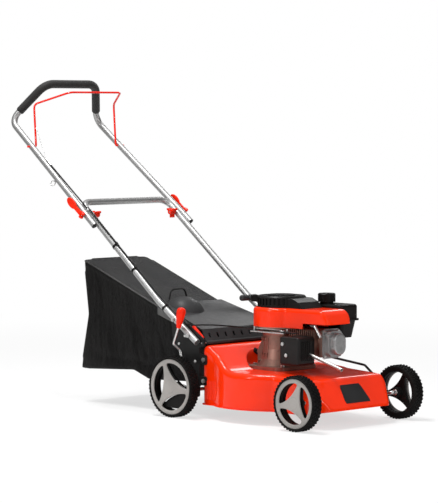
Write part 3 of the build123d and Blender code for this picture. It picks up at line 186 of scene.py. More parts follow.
floor_mesh = bpy.data.meshes.new("floor")
PAPER = 60
floor_mesh.from_pydata(
    [(-PAPER, -PAPER, 0), (PAPER, -PAPER, 0), (PAPER, PAPER, 0), (-PAPER, PAPER, 0)], [], [(0, 1, 2, 3)]
)
floor = bpy.data.objects.new("floor", floor_mesh)
scene.collection.objects.link(floor)
paper, tone = new_finish("floor_paper", Roughness=0.9)
where = tone.place()
pale, paler = (0.87, 0.87, 0.87, 1.0), (0.91, 0.91, 0.91, 1.0)
feed(paper, Base_Color=tone.cloud(where, 40.0).blend(pale, paler))
seen, mirrored, through = tone.rays()
reach = tone.make("ShaderNodeVectorMath", {"operation": "LENGTH"}, 1, _0=where)
WHITE = (1.0, 1.0, 1.0, 1.0)
white = tone.make("ShaderNodeEmission", Color=WHITE, Strength=1.0)
lit = Tone(paper.node_tree, paper.node_tree.nodes["Principled BSDF"].outputs[0])
eye = tone.sum("MINIMUM", seen + 0.22 * mirrored + through, 1.0)
share = eye * (0.62 + 0.38 * reach.between(0.9, 4.0))
sweep = tone.make("ShaderNodeMixShader", _0=share, _1=lit, _2=white)
paper.node_tree.links.new(sweep.socket, paper.node_tree.nodes["Material Output"].inputs["Surface"])
floor_mesh.materials.append(paper)
paper.cycles.emission_sampling = "NONE"
floor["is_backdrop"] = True

room = bpy.data.worlds.new("room")
room.use_nodes = True
scene.world = room
tone = Tone(room.node_tree)
seen, mirrored, through = tone.rays()
upward = tone.make("ShaderNodeTexCoord").along("Z")
share = tone.sum("MINIMUM", seen + through, 1.0)
walls = mirrored * (0.03 + 0.6 * upward.between(0.2, 0.9)) + (1.0 - mirrored) * 0.42
level = share + (1.0 - share) * walls
backdrop = room.node_tree.nodes["Background"]
backdrop.inputs["Color"].default_value = WHITE
room.node_tree.links.new(level.socket, backdrop.inputs["Strength"])


# The deck is one pressed steel shell with a raised rear, sprayed in gloss red-orange enamel and
# baked. The paint varies a little over the faces and rounds the pressed edges.
def dress(finish, *names):
    for name in names:
        nodes[name].data.materials.clear()
        nodes[name].data.materials.append(finish)


def shade(colour, factor):
    return tuple(c * factor for c in colour) + (1.0,)


def enamel(name, colour, peel, edge):
    finish, tone = new_finish(name, Coat_Weight=0.4, Coat_Roughness=0.03, Specular_IOR_Level=0.05)
    where = tone.place()
    broad = tone.cloud(where, 5.0, 3.0)
    speck = tone.cloud(where, 1800.0, 1.0).between(0.7, 0.8)
    paint = broad.between(0.3, 0.7).blend(shade(colour, 0.92), shade(colour, 1.03))
    feed(
        finish,
        Base_Color=speck.blend(paint, shade(colour, 1.1)),
        Roughness=0.20 + 0.10 * broad,
        Normal=tone.bump(tone.cloud(where, 380.0), peel, 0.0004, edge),
    )
    return finish


deck_enamel = enamel("deck_enamel", (0.88, 0.028, 0.001), 0.05, 0.0022)
dress(deck_enamel, "deck")


# Eight upright flutes are pressed into each side of the skirt ahead of the rear wheel, to stiffen
# it; they carry the same enamel.
DATUM_X = 413.37
UP = Vector((0, 0, 1))


def at(x, y, z):
    """A place in the frame's metres, from millimetres ahead of, left of and above the datum."""
    return Vector(((x + DATUM_X) / 1000, y / 1000, z / 1000))


def settle(name, shape, sharp=35.0):
    """The finished mesh of a shape: doubles merged, faces outward, smooth but for its sharp edges."""
    bmesh.ops.remove_doubles(shape, verts=shape.verts, dist=1e-6)
    bmesh.ops.recalc_face_normals(shape, faces=shape.faces)
    mesh = bpy.data.meshes.new(name)
    shape.to_mesh(mesh)
    shape.free()
    mesh.shade_smooth()
    mesh.set_sharp_from_angle(angle=math.radians(sharp))
    return mesh


def fit_piece(name, mesh, finish, body, slot, *stands_for):
    """Adds a finished mesh as a piece, which may ride on a body and stand for CAD nodes."""
    mesh.materials.clear()
    mesh.materials.append(finish)
    piece = bpy.data.objects.new(name, mesh)
    scene.collection.objects.link(piece)
    if body:
        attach(piece, body)
    if stands_for:
        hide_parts(*stands_for)
    return piece


def on_node(name, start, direction):
    """Where a line first meets a CAD node, and the face's direction there."""
    hit, point, normal, face = nodes[name].ray_cast(start, direction)
    return (point, normal) if hit else (None, None)


def new_tree(name, **inputs):
    """An empty Geometry Nodes tree with named inputs, as a Tone for each, and its output socket."""
    tree = bpy.data.node_groups.new(name, "GeometryNodeTree")
    tree.interface.new_socket("Mesh", in_out="OUTPUT", socket_type="NodeSocketGeometry")
    for label, kind in inputs.items():
        tree.interface.new_socket(label.replace("_", " "), in_out="INPUT", socket_type="NodeSocket" + kind)
    source = tree.nodes.new("NodeGroupInput")
    sizes = {label: Tone(tree, source.outputs[label.replace("_", " ")]) for label in inputs}
    return tree, sizes, tree.nodes.new("NodeGroupOutput").inputs[0]


def plain_mesh(holder):
    """A copy of an object's mesh with its modifiers carried out."""
    return bpy.data.meshes.new_from_object(holder.evaluated_get(bpy.context.evaluated_depsgraph_get()))


def grow(tree, start=None, **sizes):
    """The plain mesh that a tree makes from its sizes, and from a start mesh where it needs one."""
    seed = bpy.data.objects.new("seed", start or bpy.data.meshes.new("seed"))
    scene.collection.objects.link(seed)
    step = seed.modifiers.new("grow", "NODES")
    step.node_group = tree
    for item in tree.interface.items_tree:
        label = item.name.replace(" ", "_")
        if item.item_type == "SOCKET" and item.in_out == "INPUT" and label in sizes:
            step[item.identifier] = sizes[label]
    mesh = plain_mesh(seed)
    bpy.data.objects.remove(seed)
    return mesh


bars, size, bars_end = new_tree(
    "bars", Places="Geometry", Length="Float", Radius="Float", Flat="Float", Finish="Material"
)
tone = Tone(bars)
vector = {"data_type": "FLOAT_VECTOR"}
along = tone.make("GeometryNodeInputNamedAttribute", vector, Name="along")
outward = tone.make("GeometryNodeInputNamedAttribute", vector, Name="out")
rod = tone.make("GeometryNodeMeshCylinder", Vertices=12, Radius=size["Radius"], Depth=size["Length"])
flat = tone.make("ShaderNodeCombineXYZ", X=size["Flat"], Y=1.0, Z=1.0)
rod = tone.make("GeometryNodeTransform", Geometry=rod, Scale=flat)
facing = tone.make("FunctionNodeAlignRotationToVector", {"axis": "Z"}, Vector=along)
about = {"axis": "X", "pivot_axis": "Z"}
facing = tone.make("FunctionNodeAlignRotationToVector", about, Rotation=facing, Vector=outward)
placed = tone.make("GeometryNodeInstanceOnPoints", Points=size["Places"], Instance=rod, Rotation=facing)
real = tone.make("GeometryNodeRealizeInstances", Geometry=placed)
coated = tone.make("GeometryNodeSetMaterial", Geometry=real, Material=size["Finish"])
bars.links.new(coated.socket, bars_end)


def add_bars(shape, places, length, radius, flat, finish):
    """Adds half sunk bars to a shape, each by its middle, the way it runs and the way it faces."""
    start = bpy.data.meshes.new("places")
    start.from_pydata([place[0] for place in places], [], [])
    for label, k in (("along", 1), ("out", 2)):
        layer = start.attributes.new(label, "FLOAT_VECTOR", "POINT")
        layer.data.foreach_set("vector", [c for place in places for c in place[k]])
    shape.from_mesh(grow(bars, start, Length=length, Radius=radius, Flat=flat, Finish=finish))


FLUTES, FLUTE_STEP = 8, 7.4
places = []
for side in (-1, 1):
    for n in range(FLUTES):
        point, normal = on_node("deck", at(-206 + FLUTE_STEP * n, 300 * side, 94), Vector((0, -side, 0)))
        places.append((point, UP, normal))
flutes = bmesh.new()
add_bars(flutes, places, length=0.062, radius=0.0029, flat=0.8, finish=deck_enamel)
fit_piece("skirt_flutes", settle("skirt_flutes", flutes), deck_enamel, "mower", "red_paint")


# The cove behind the engine is deck sheet pressed to a hollow curve, which leads the ramp down to
# the edge of the engine's foot.
ENGINE_X = -49.0
OVERHEAD, DOWN = 400.0, Vector((0, 0, -1))
FOOT_LONG, FOOT_WIDE, FOOT_CORNER = 54.0, 62.0, 30.0
COVE_RIM, COVE_FLOOR, COVE_SHEET = 119.5, 163.3, 1.2
TURNS, STEPS = 60, 12


def foot_edge(c, d):
    """How far the rounded edge of the engine's foot lies from its axis, in one direction."""
    edge = COVE_RIM + 0.5
    while math.hypot(max(edge * abs(c) - FOOT_LONG, 0), max(edge * abs(d) - FOOT_WIDE, 0)) > FOOT_CORNER:
        edge -= 0.5
    return edge


cove = bmesh.new()
layers = []
for drop in (0.0, COVE_SHEET):
    fan = []
    for n in range(TURNS + 1):
        turn = math.radians(104 + 152 * n / TURNS)
        c, d = math.cos(turn), math.sin(turn)
        rim, normal = on_node("deck", at(ENGINE_X + COVE_RIM * c, COVE_RIM * d, OVERHEAD), DOWN)
        inner, outer = min(foot_edge(c, d) + 2.5, COVE_RIM - 3.5), COVE_RIM - 1.3
        strip = []
        for k in range(STEPS + 1):
            share = k / STEPS
            r = inner * (1 - share) + outer * share
            rise = 0.45 * share + 0.55 * share * share * (3 - 2 * share)
            z = COVE_FLOOR + (rim.z * 1000 + 0.4 - COVE_FLOOR) * rise - drop
            strip.append(cove.verts.new(at(ENGINE_X + r * c, r * d, z)))
        fan.append(strip)
    layers.append(fan)
for fan in layers:
    for n in range(TURNS):
        for k in range(STEPS):
            cove.faces.new((fan[n][k], fan[n + 1][k], fan[n + 1][k + 1], fan[n][k + 1]))
upper, lower = layers
for n in range(TURNS):
    for k in (0, STEPS):
        cove.faces.new((upper[n][k], upper[n + 1][k], lower[n + 1][k], lower[n][k]))
for k in range(STEPS):
    for n in (0, TURNS):
        cove.faces.new((upper[n][k], upper[n][k + 1], lower[n][k + 1], lower[n][k]))
seat_cove = fit_piece("seat_cove", settle("seat_cove", cove), deck_enamel, "mower", "red_paint")


# The plate on the nose is a thin pressed aluminium blank, lacquered dark, with rounded corners,
# bent to the slope and glued down.
def moulded(name, colour, roughness, grain, edge, gloss=0.12):
    finish, tone = new_finish(name, Specular_IOR_Level=gloss)
    where = tone.place()
    broad = tone.cloud(where, 9.0, 3.0)
    feed(
        finish,
        Base_Color=broad.between(0.3, 0.7).blend(shade(colour, 0.86), shade(colour, 1.14)),
        Roughness=roughness - 0.06 + 0.12 * tone.cloud(where, 60.0),
        Normal=tone.bump(tone.cloud(where, 1100.0, 3.0, 0.6), grain, 0.0005, edge),
    )
    return finish


PLATE_X, PLATE_LONG = 248.0, 41.0
PLATE_HALF, PLATE_FLARE, PLATE_CORNER = 47.5, 12.5, 4.0
plate = bmesh.new()
across, down = 24, 10
rows = []
for lift in (0.0011, -0.0004):
    grid = []
    for n in range(down + 1):
        x = PLATE_X + PLATE_LONG * n / down
        half = PLATE_HALF + PLATE_FLARE * n / down
        pinch = PLATE_CORNER * max(0.0, 1 - min(n, down - n) / 1.2)
        line = []
        for m in range(across + 1):
            y = (half - pinch) * (2 * m / across - 1)
            point, normal = on_node("deck", at(x, y, OVERHEAD), DOWN)
            line.append(plate.verts.new(point + normal * lift))
        grid.append(line)
    rows.append(grid)
for n in range(down):
    for m in range(across):
        for grid in rows:
            plate.faces.new((grid[n][m], grid[n][m + 1], grid[n + 1][m + 1], grid[n + 1][m]))
rim = [(0, m) for m in range(across)] + [(n, across) for n in range(down)]
rim += [(down, m) for m in range(across, 0, -1)] + [(n, 0) for n in range(down, 0, -1)]
for (a, b), (c, d) in zip(rim, rim[1:] + rim[:1]):
    plate.faces.new((rows[0][a][b], rows[0][c][d], rows[1][c][d], rows[1][a][b]))
lacquer = moulded("plate_lacquer", (0.020, 0.020, 0.021), 0.34, 0.06, 0.0006)
fit_piece("nose_plate", settle("nose_plate", plate), lacquer, "mower", "black_paint")

# The plug in the cove behind the engine is a square black rubber bung with a rounded lip, pushed
# into the hose hole of the deck.
BUNG_TURN, BUNG_OUT, BUNG_SIDES = math.radians(183), 112.0, 32
BUNG_PROFILE = ((5.6, 6.2), (7.2, 5.2), (7.8, 3.6), (9.6, 3.0), (10.4, 1.8), (10.4, -1.0))
bung = bmesh.new()
start = at(ENGINE_X + BUNG_OUT * math.cos(BUNG_TURN), BUNG_OUT * math.sin(BUNG_TURN), OVERHEAD)
hit, point, normal, face = seat_cove.ray_cast(start, DOWN)
stand = Matrix.Translation(point) @ normal.to_track_quat("Z", "Y").to_matrix().to_4x4()
stand = stand @ Matrix.Rotation(math.radians(45), 4, "Z")
rings = []
for reach, lift in BUNG_PROFILE:
    ring = []
    for n in range(BUNG_SIDES):
        c, d = math.cos(2 * math.pi * n / BUNG_SIDES), math.sin(2 * math.pi * n / BUNG_SIDES)
        out = reach / (abs(c) ** 5 + abs(d) ** 5) ** 0.2
        ring.append(bung.verts.new(stand @ (Vector((out * c, out * d, lift)) / 1000)))
    rings.append(ring)
bung.faces.new(rings[0])
for inner, outer in zip(rings, rings[1:]):
    for n in range(BUNG_SIDES):
        m = (n + 1) % BUNG_SIDES
        bung.faces.new((inner[n], inner[m], outer[m], outer[n]))


def rubber(name, colour, grain):
    finish, tone = new_finish(name, Specular_IOR_Level=0.09)
    where = tone.place()
    broad = tone.cloud(where, 30.0, 4.0)
    feed(
        finish,
        Base_Color=broad.between(0.35, 0.75).blend(shade(colour, 0.8), shade(colour, 1.5)),
        Roughness=0.58 + 0.2 * broad,
        Normal=tone.bump(tone.cloud(where, 700.0, 4.0, 0.65), grain, 0.0006, 0.0008),
    )
    return finish


bung_rubber = rubber("bung_rubber", (0.008, 0.0075, 0.0072), 0.2)
fit_piece("ramp_bung", settle("ramp_bung", bung), bung_rubber, "mower", "black_plastic")


# Side plates, front height lever, brake lever and bag wire are mild steel, stamped or bent and
# dipped in satin black, with the fine grain of a dipped coat.
def black_coat(name, colour, roughness, grain):
    finish, tone = new_finish(name, Specular_IOR_Level=0.25)
    where = tone.place()
    broad = tone.cloud(where, 14.0, 3.0)
    feed(
        finish,
        Base_Color=broad.between(0.3, 0.75).blend(shade(colour, 0.75), shade(colour, 1.5)),
        Roughness=roughness - 0.08 + 0.16 * tone.cloud(where, 45.0, 3.0),
        Normal=tone.bump(tone.cloud(where, 900.0, 3.0, 0.6), grain, 0.0006, 0.0011),
    )
    return finish


black_steel = black_coat("black_steel", (0.0075, 0.0072, 0.0072), 0.42, 0.22)
dress(black_steel, "side_plates", "front_height_lever", "brake_lever", "bag_frame")


# Axles, bolts, studs, rear height lever and small wire forms are steel, turned, cold headed or bent,
# and bright zinc plated, with the soft mottling that the plating bath leaves.
def plated(name, colour, roughness):
    finish, tone = new_finish(name, Metallic=1.0)
    where = tone.place()
    mottle = tone.cloud(where, 120.0, 4.0, 0.6)
    feed(
        finish,
        Base_Color=mottle.between(0.3, 0.7).blend(shade(colour, 0.78), shade(colour, 1.05)),
        Roughness=roughness - 0.08 + 0.18 * mottle,
        Normal=tone.bump(tone.cloud(where, 1500.0), 0.12, 0.0003, 0.0008),
    )
    return finish


zinc_plate = plated("zinc_plate", (0.66, 0.66, 0.65), 0.30)
dress(zinc_plate, "handle_bolts", "front_axle", "rear_axle", "flap_hinge_rod", "engine_bolts", "cam_bolts")
dress(zinc_plate, "rear_height_lever")


def facing_out(x, y, z):
    """Turns a drawing, forward, up and outward in metres, to its place at the mower's side."""
    out = -1.0 if y < 0 else 1.0
    turn = Matrix(((1, 0, 0, 0), (0, 0, out, 0), (0, 1, 0, 0), (0, 0, 0, 1)))
    return Matrix.Translation(at(x, y, z)) @ turn


def turned(shape, profile, place, steps=120):
    """Adds the ring that a closed profile of radius and outward place, in millimetres, sweeps."""
    rings = []
    for n in range(steps):
        turn = 2 * math.pi * n / steps
        ahead, up = math.cos(turn) / 1000, math.sin(turn) / 1000
        rings.append([shape.verts.new(place @ Vector((r * ahead, r * up, w / 1000))) for r, w in profile])
    for here, there in zip(rings, rings[1:] + rings[:1]):
        for k in range(len(profile)):
            m = (k + 1) % len(profile)
            shape.faces.new((here[k], there[k], there[m], here[m]))


PLATE_FACE = 200.0
STUD_DOME = ((0, -1), (1, -1), (1, 0.18), (0.86, 0.42), (0.5, 0.66), (0, 0.75))
studs = bmesh.new()
for side in (-1, 1):
    for x, z, size in ((-296.0, 268.7, 8.0), (-327.6, 238.9, 4.6), (-251.6, 185.0, 5.4)):
        dome = [(r * size, max(w * size, -1)) for r, w in STUD_DOME]
        turned(studs, dome, facing_out(x, PLATE_FACE * side, z), steps=32)
fit_piece("plate_studs", settle("plate_studs", studs), zinc_plate, "mower", "zinc")
dress(zinc_plate, "cable_ferrule", "rope_guide", "brake_bracket", "brake_link", "spark_plug")


# Bushes and the lever's grip are injection moulded: black acetal in the plates, and a ribbed red
# polypropylene sleeve pushed over the flat end of the rear lever.
black_plastic = moulded("black_plastic", (0.0062, 0.0053, 0.0051), 0.36, 0.16, 0.0014)
dress(black_plastic, "axle_bushes")
red_plastic = moulded("red_plastic", (0.80, 0.020, 0.004), 0.34, 0.10, 0.0014)


def sleeve(path, radii, sides):
    """The shape of a round bar along a path, with a radius for each point and turn."""
    shape = bmesh.new()
    across = Vector((0.31, 0.17, 0.93))
    rings = []
    for n, point in enumerate(path):
        ahead = (path[min(n + 1, len(path) - 1)] - path[max(n - 1, 0)]).normalized()
        across = (across - ahead * across.dot(ahead)).normalized()
        other = ahead.cross(across)
        turns = [2 * math.pi * m / sides for m in range(sides)]
        spokes = [(across * math.cos(t) + other * math.sin(t)) * radii(n, t) for t in turns]
        rings.append([shape.verts.new(point + spoke) for spoke in spokes])
    for here, there in zip(rings, rings[1:]):
        for m in range(sides):
            k = (m + 1) % sides
            shape.faces.new((here[m], here[k], there[k], there[m]))
    shape.faces.new(rings[0])
    shape.faces.new(rings[-1])
    return shape


GRIP_ALONG = (0.0, 0.02, 0.12, 0.30, 0.52, 0.72, 0.85, 0.94, 0.985, 1.0)
GRIP_RADIUS = (5.8, 7.2, 8.6, 10.8, 13.6, 15.2, 15.0, 12.8, 9.0, 5.0)
GRIP_RIBS = 8
low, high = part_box("rear_lever_grip")
middle = 0.5 * (low[1] + high[1])
foot = Vector((low[0] + 0.008, middle, low[2] + 0.003))
head = Vector((high[0] - 0.0085, middle, high[2] - 0.003))
spread = np.linspace(0, 1, 41)
widths = np.interp(spread, GRIP_ALONG, GRIP_RADIUS)


def grip_radius(n, turn):
    fade = min(1.0, 4 * spread[n] * (1 - spread[n]))
    return widths[n] * (1 + 0.035 * math.cos(GRIP_RIBS * turn) * fade) / 1000


knob = sleeve([foot.lerp(head, a) for a in spread], grip_radius, sides=48)
mesh = settle("lever_grip", knob, 50)
fit_piece("lever_grip", mesh, red_plastic, "rear_axle", "red_plastic", "rear_lever_grip")


# The wheels are black polypropylene webs with a tyre of soft black compound moulded round them.
# The tread is four rows of slanted lugs that stand a few millimetres proud of the carcass.
HUB = [(6.05, -20.8), (13.5, -20.8), (15, -19.5), (15, 9), (14, 10), (6.05, 10)]
WHEELS = {
    "front_right": (250.0, -245.0, 89.0, 10.0),
    "front_left": (250.0, 245.0, 89.0, 10.0),
    "rear_right": (-306.0, -245.0, 101.5, 51.0),
    "rear_left": (-306.0, 245.0, 101.5, 51.0),
}
tyre_rubber = rubber("tyre_rubber", (0.0052, 0.0047, 0.0045), 0.35)
web_plastic = moulded("web_plastic", (0.0075, 0.0070, 0.0068), 0.42, 0.2, 0.001)
tread, size, tread_end = new_tree(
    "tread", Radius="Float", Rows="Int", Row_Width="Float", Lugs="Int",
    Lug_Length="Float", Lug_Height="Float", Slant="Float", Rubber="Material",
)
tone = Tone(tread)
number = tone.make("GeometryNodeInputIndex")
row = tone.sum("FLOOR", (number + 0.5) / size["Lugs"])
odd = tone.sum("MODULO", row, 2.0)
angle = (number - row * size["Lugs"] + 0.5 * odd) * (2 * math.pi) / size["Lugs"]
spot = tone.make(
    "ShaderNodeCombineXYZ",
    X=size["Radius"] * tone.sum("COSINE", angle),
    Y=size["Radius"] * tone.sum("SINE", angle),
    Z=(row - 0.5 * (size["Rows"] - 1.0)) * size["Row_Width"],
)
points = tone.make("GeometryNodePoints", Count=size["Rows"] * size["Lugs"], Position=spot)
turn = tone.make("ShaderNodeCombineXYZ", Y=math.pi / 2, Z=angle)
facing = tone.make("FunctionNodeEulerToRotation", Euler=turn)
cone = {"Vertices": 8, "Radius_Top": 0.80, "Radius_Bottom": 1.0}
block = tone.make("GeometryNodeMeshCone", Depth=size["Lug_Height"], **cone)
block = tone.make("GeometryNodeTransform", Geometry=block, Rotation=(0.0, 0.0, math.pi / 8))
stretch = tone.make("ShaderNodeCombineXYZ", X=size["Row_Width"] * 0.47, Y=size["Lug_Length"] * 0.54, Z=1.0)
block = tone.make("GeometryNodeTransform", Geometry=block, Scale=stretch)
joined = tread.nodes.new("GeometryNodeJoinGeometry")
for side in (0.0, 1.0):
    lean = size["Slant"] * (1.0 - 2.0 * side)
    tilt = tone.make("FunctionNodeEulerToRotation", Euler=tone.make("ShaderNodeCombineXYZ", Z=lean))
    lug = tone.make("GeometryNodeTransform", Geometry=block, Rotation=tilt)
    chosen = tone.sum("COMPARE", odd, side)
    spread = {"Points": points, "Selection": chosen, "Instance": lug, "Rotation": facing}
    placed = tone.make("GeometryNodeInstanceOnPoints", **spread)
    tread.links.new(placed.socket, joined.inputs[0])
real = tone.make("GeometryNodeRealizeInstances", Geometry=Tone(tread, joined.outputs[0]))
coated = tone.make("GeometryNodeSetMaterial", Geometry=real, Material=size["Rubber"])
tread.links.new(coated.socket, tread_end)
RIM_WIDE, SPOKE_HALF, HOLE_CORNER = 23.6, 7.0, 6.0


def openings(radius, first):
    """Outlines of the three openings between a wheel's spokes, in metres, forward and up."""
    ring = radius - RIM_WIDE
    inner = 0.40 * ring
    spread = math.radians(60) - math.asin(SPOKE_HALF / ring)
    reach = ring * math.cos(spread) - inner
    side = ring * math.sin(spread)
    arc = (reach**2 + side**2) / (2 * reach)
    away, corner = inner + arc, HOLE_CORNER
    low = ((ring - corner) ** 2 - (arc - corner) ** 2 + away**2) / (2 * away)
    wide = math.sqrt((ring - corner) ** 2 - low**2)
    outward, inward = math.atan2(wide, low), math.atan2(wide, low - away)
    points = [(ring * math.cos(t), ring * math.sin(t)) for t in np.linspace(-outward, outward, 25)]
    turns = np.linspace(outward, inward, 9)[1:]
    points += [(low + corner * math.cos(t), wide + corner * math.sin(t)) for t in turns]
    back = np.linspace(inward, 2 * math.pi - inward, 31)[1:]
    points += [(away + arc * math.cos(t), arc * math.sin(t)) for t in back]
    turns = np.linspace(-inward, -outward, 9)[1:-1]
    points += [(low + corner * math.cos(t), -wide + corner * math.sin(t)) for t in turns]
    found = []
    for n in range(3):
        turn = math.radians(first + 120 * n)
        c, d = math.cos(turn) / 1000, math.sin(turn) / 1000
        found.append([(p * c - q * d, p * d + q * c) for p, q in points])
    return found


def cut_disc(name, outer, holes, low, high, soft):
    """A disc with openings, its edges rounded, as a mesh in a wheel's own drawing."""
    flat = bpy.data.curves.new(name, "CURVE")
    flat.dimensions = "2D"
    flat.fill_mode = "BOTH"
    flat.extrude = (high - low) / 2000 - soft / 1000
    flat.bevel_depth = soft / 1000
    flat.bevel_resolution = 3
    flat.offset = -soft / 1000
    turns = [2 * math.pi * n / 96 for n in range(96)]
    edge = [(outer * math.cos(t) / 1000, outer * math.sin(t) / 1000) for t in turns]
    for outline in [edge] + holes:
        line = flat.splines.new("POLY")
        line.points.add(len(outline) - 1)
        line.points.foreach_set("co", [c for p, q in outline for c in (p, q, 0.0, 1.0)])
        line.use_cyclic_u = True
    holder = bpy.data.objects.new(name, flat)
    scene.collection.objects.link(holder)
    mesh = plain_mesh(holder)
    bpy.data.objects.remove(holder)
    mesh.transform(Matrix.Translation((0, 0, (high + low) / 2000)))
    return mesh


for name, (x, y, radius, first) in WHEELS.items():
    place = facing_out(x, y, radius)
    rim, seat, cap = radius - 22.0, 12.8, radius - 9.6
    carcass = radius - 2.8
    tyre = bmesh.new()
    section = [(rim, -17), (rim + 3, -19.4), (radius - 11, -20.6), (radius - 7, -20.8)]
    section += [(radius - 4.4, -19.6), (carcass - 0.4, -17.6), (carcass, -15), (carcass, 15)]
    section += [(carcass - 0.4, 17.6), (radius - 4.4, 19.6), (radius - 6.4, 20.6)]
    section += [(cap + 1.4, 20.8), (cap + 0.3, 20.0), (cap + 0.2, seat), (rim, seat)]
    turned(tyre, section, place)
    lugs = grow(
        tread, Radius=(carcass - 0.4) / 1000, Rows=4, Row_Width=0.0094, Lugs=round(radius * 0.5),
        Lug_Length=0.0082, Lug_Height=0.0031, Slant=0.5, Rubber=tyre_rubber,
    )
    lugs.transform(place)
    if y > 0:
        lugs.flip_normals()
    tyre.from_mesh(lugs)
    mesh = settle("tyre", tyre, 30)
    fit_piece(f"tyre_{name}", mesh, tyre_rubber, f"wheel_{name}", "tyre_black", f"wheel_{name}")
    web = bmesh.new()
    web.from_mesh(cut_disc("web", rim + 0.4, openings(radius, first), low=-2, high=6, soft=1.2))
    bmesh.ops.transform(web, matrix=place, verts=web.verts)
    turned(web, HUB, place, steps=64)
    fit_piece(f"web_{name}", settle("web", web, 30), web_plastic, f"wheel_{name}", "black_plastic")


# The hub caps are warm grey polypropylene mouldings that clip into the tyre: a crowned ring, three
# flared spokes and a low round boss with a line about it.
CAP_FACE = 0.0165
cap_plastic = moulded("cap_plastic", (0.30, 0.285, 0.27), 0.36, 0.10, 0.0)
for name, (x, y, radius, first) in WHEELS.items():
    outer = radius - 9.75
    disc = cut_disc("cap", outer, openings(radius, first), low=13, high=19.4, soft=1.6)
    blank = bpy.data.objects.new("blank", disc)
    scene.collection.objects.link(blank)
    even = blank.modifiers.new("even", "REMESH")
    even.mode, even.voxel_size = "VOXEL", 0.0014
    soften = blank.modifiers.new("soften", "SMOOTH")
    soften.factor, soften.iterations = 0.5, 3
    mesh = plain_mesh(blank)
    bpy.data.objects.remove(blank)
    boss = 0.24 * outer
    for vertex in mesh.vertices:
        r = math.hypot(vertex.co.x, vertex.co.y) * 1000
        if vertex.co.z > CAP_FACE:
            crown = 1.4 * max(0.0, (r - outer + 14) / 14) ** 2
            dish = 1.1 * math.exp(-(((r - outer + 18) / 6) ** 2))
            dome = 1.0 * max(0.0, 1 - (r / (0.62 * outer)) ** 2)
            line = 0.9 * math.exp(-(((r - boss) / 1.3) ** 2))
            vertex.co.z += (dome - crown - dish - line) / 1000
    mesh.transform(facing_out(x, y, radius))
    shape = bmesh.new()
    shape.from_mesh(mesh)
    mesh = settle("cap", shape, 60)
    fit_piece(f"cap_{name}", mesh, cap_plastic, f"wheel_{name}", "grey_plastic", f"hub_cap_{name}")


# The cutting set is a twisted spring steel blade on a turned boss, clamped by one bolt to the
# forged crankshaft, with a cast flywheel at the shaft's upper end.
blade_steel = plated("blade_steel", (0.34, 0.34, 0.35), 0.38)
dress(blade_steel, "crankshaft", "blade_boss", "blade", "blade_bolt")


# Crankcase, cylinder, carburettor and flywheel are aluminium castings left as cast, with random
# darker stains; their red-brown colour is a painted reflection of the red deck. The valve cover is
# a finer casting, blasted to an even grey.
def cast_metal(name, colour, roughness, grain):
    finish, tone = new_finish(name)
    where = tone.place()
    broad = tone.cloud(where, 22.0, 4.0)
    stain = tone.cloud(where, 55.0, 5.0, 0.65).between(0.52, 0.8)
    metal = broad.between(0.3, 0.7).blend(shade(colour, 0.82), shade(colour, 1.1))
    feed(
        finish,
        Base_Color=stain.blend(metal, shade(colour, 0.55)),
        Metallic=0.75 - 0.3 * stain,
        Roughness=roughness + 0.15 * broad,
        Normal=tone.bump(tone.cloud(where, 800.0, 4.0, 0.65), grain, 0.0006, 0.0012),
    )
    return finish


# The red-brown colour here is painted reflection of the red deck on grey cast aluminium.
rough_casting = cast_metal("rough_casting", (0.29, 0.165, 0.13), 0.36, 0.25)
dress(rough_casting, "crankcase", "cylinder_block", "carburettor", "flywheel")
RIB_TURNS = [112 + 13 * n for n in range(13) if n not in (2, 9)]
RIB_LEVELS = (204, 229, 254)
LUGS = ((196, 266), (222, 262), (247, 262), (209, 190), (236, 190))


def on_case(degrees, z):
    """A place on the crankcase's wall in one direction from its axis, and that direction."""
    turn = math.radians(degrees)
    away = Vector((math.cos(turn), math.sin(turn), 0))
    point, normal = on_node("crankcase", at(ENGINE_X, 0, z) + away * 0.2, -away)
    return point, away


ribs = bmesh.new()
walls = [on_case(degrees, z) for degrees in RIB_TURNS for z in RIB_LEVELS]
places = [(point, UP, away) for point, away in walls]
add_bars(ribs, places, length=0.0252, radius=0.0021, flat=1.0, finish=rough_casting)
walls = [on_case(degrees, z) for degrees, z in LUGS]
places = [(point, away, UP) for point, away in walls]
add_bars(ribs, places, length=0.009, radius=0.0062, flat=1.0, finish=rough_casting)
fit_piece("case_ribs", settle("case_ribs", ribs), rough_casting, "mower", "casting")
dress(cast_metal("cover_casting", (0.33, 0.33, 0.33), 0.36, 0.15), "valve_cover")


# The muffler is a pressed steel box behind a ribbed guard, in heat-proof black; its tail pipe is a
# cut length of plain steel tube.
heat_black = black_coat("heat_black", (0.0066, 0.0060, 0.0058), 0.40, 0.25)
dress(heat_black, "muffler")
GUARD_RIBS, AHEAD = 7, Vector((1, 0, 0))
low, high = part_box("muffler")
tall = high[2] - low[2]
places = []
for n in range(GUARD_RIBS):
    y = low[1] + (high[1] - low[1]) * (0.14 + 0.12 * n)
    point, normal = on_node("muffler", Vector((high[0] + 0.1, y, low[2] + tall * 0.55)), -AHEAD)
    places.append((point, UP, AHEAD))
ribs = bmesh.new()
add_bars(ribs, places, length=0.62 * tall, radius=0.0021, flat=1.0, finish=heat_black)
fit_piece("guard_ribs", settle("guard_ribs", ribs), heat_black, "mower", "black_paint")
dress(plated("pipe_steel", (0.55, 0.54, 0.52), 0.36), "exhaust_pipe")


# The blower shroud is a deep drawn steel cover in the same gloss enamel as the deck, and the recoil
# cover, tank, cap and filter box are black mouldings screwed to it and to the cylinder.
dress(enamel("shroud_enamel", (0.88, 0.028, 0.001), 0.04, 0.002), "blower_shroud")
dress(black_plastic, "fuel_tank", "fuel_cap", "air_cleaner", "recoil_cover", "starter_drum")
dark_plastic = moulded("dark_plastic", (0.038, 0.038, 0.039), 0.42, 0.22, 0.0016)
dress(dark_plastic, "starter_handle")

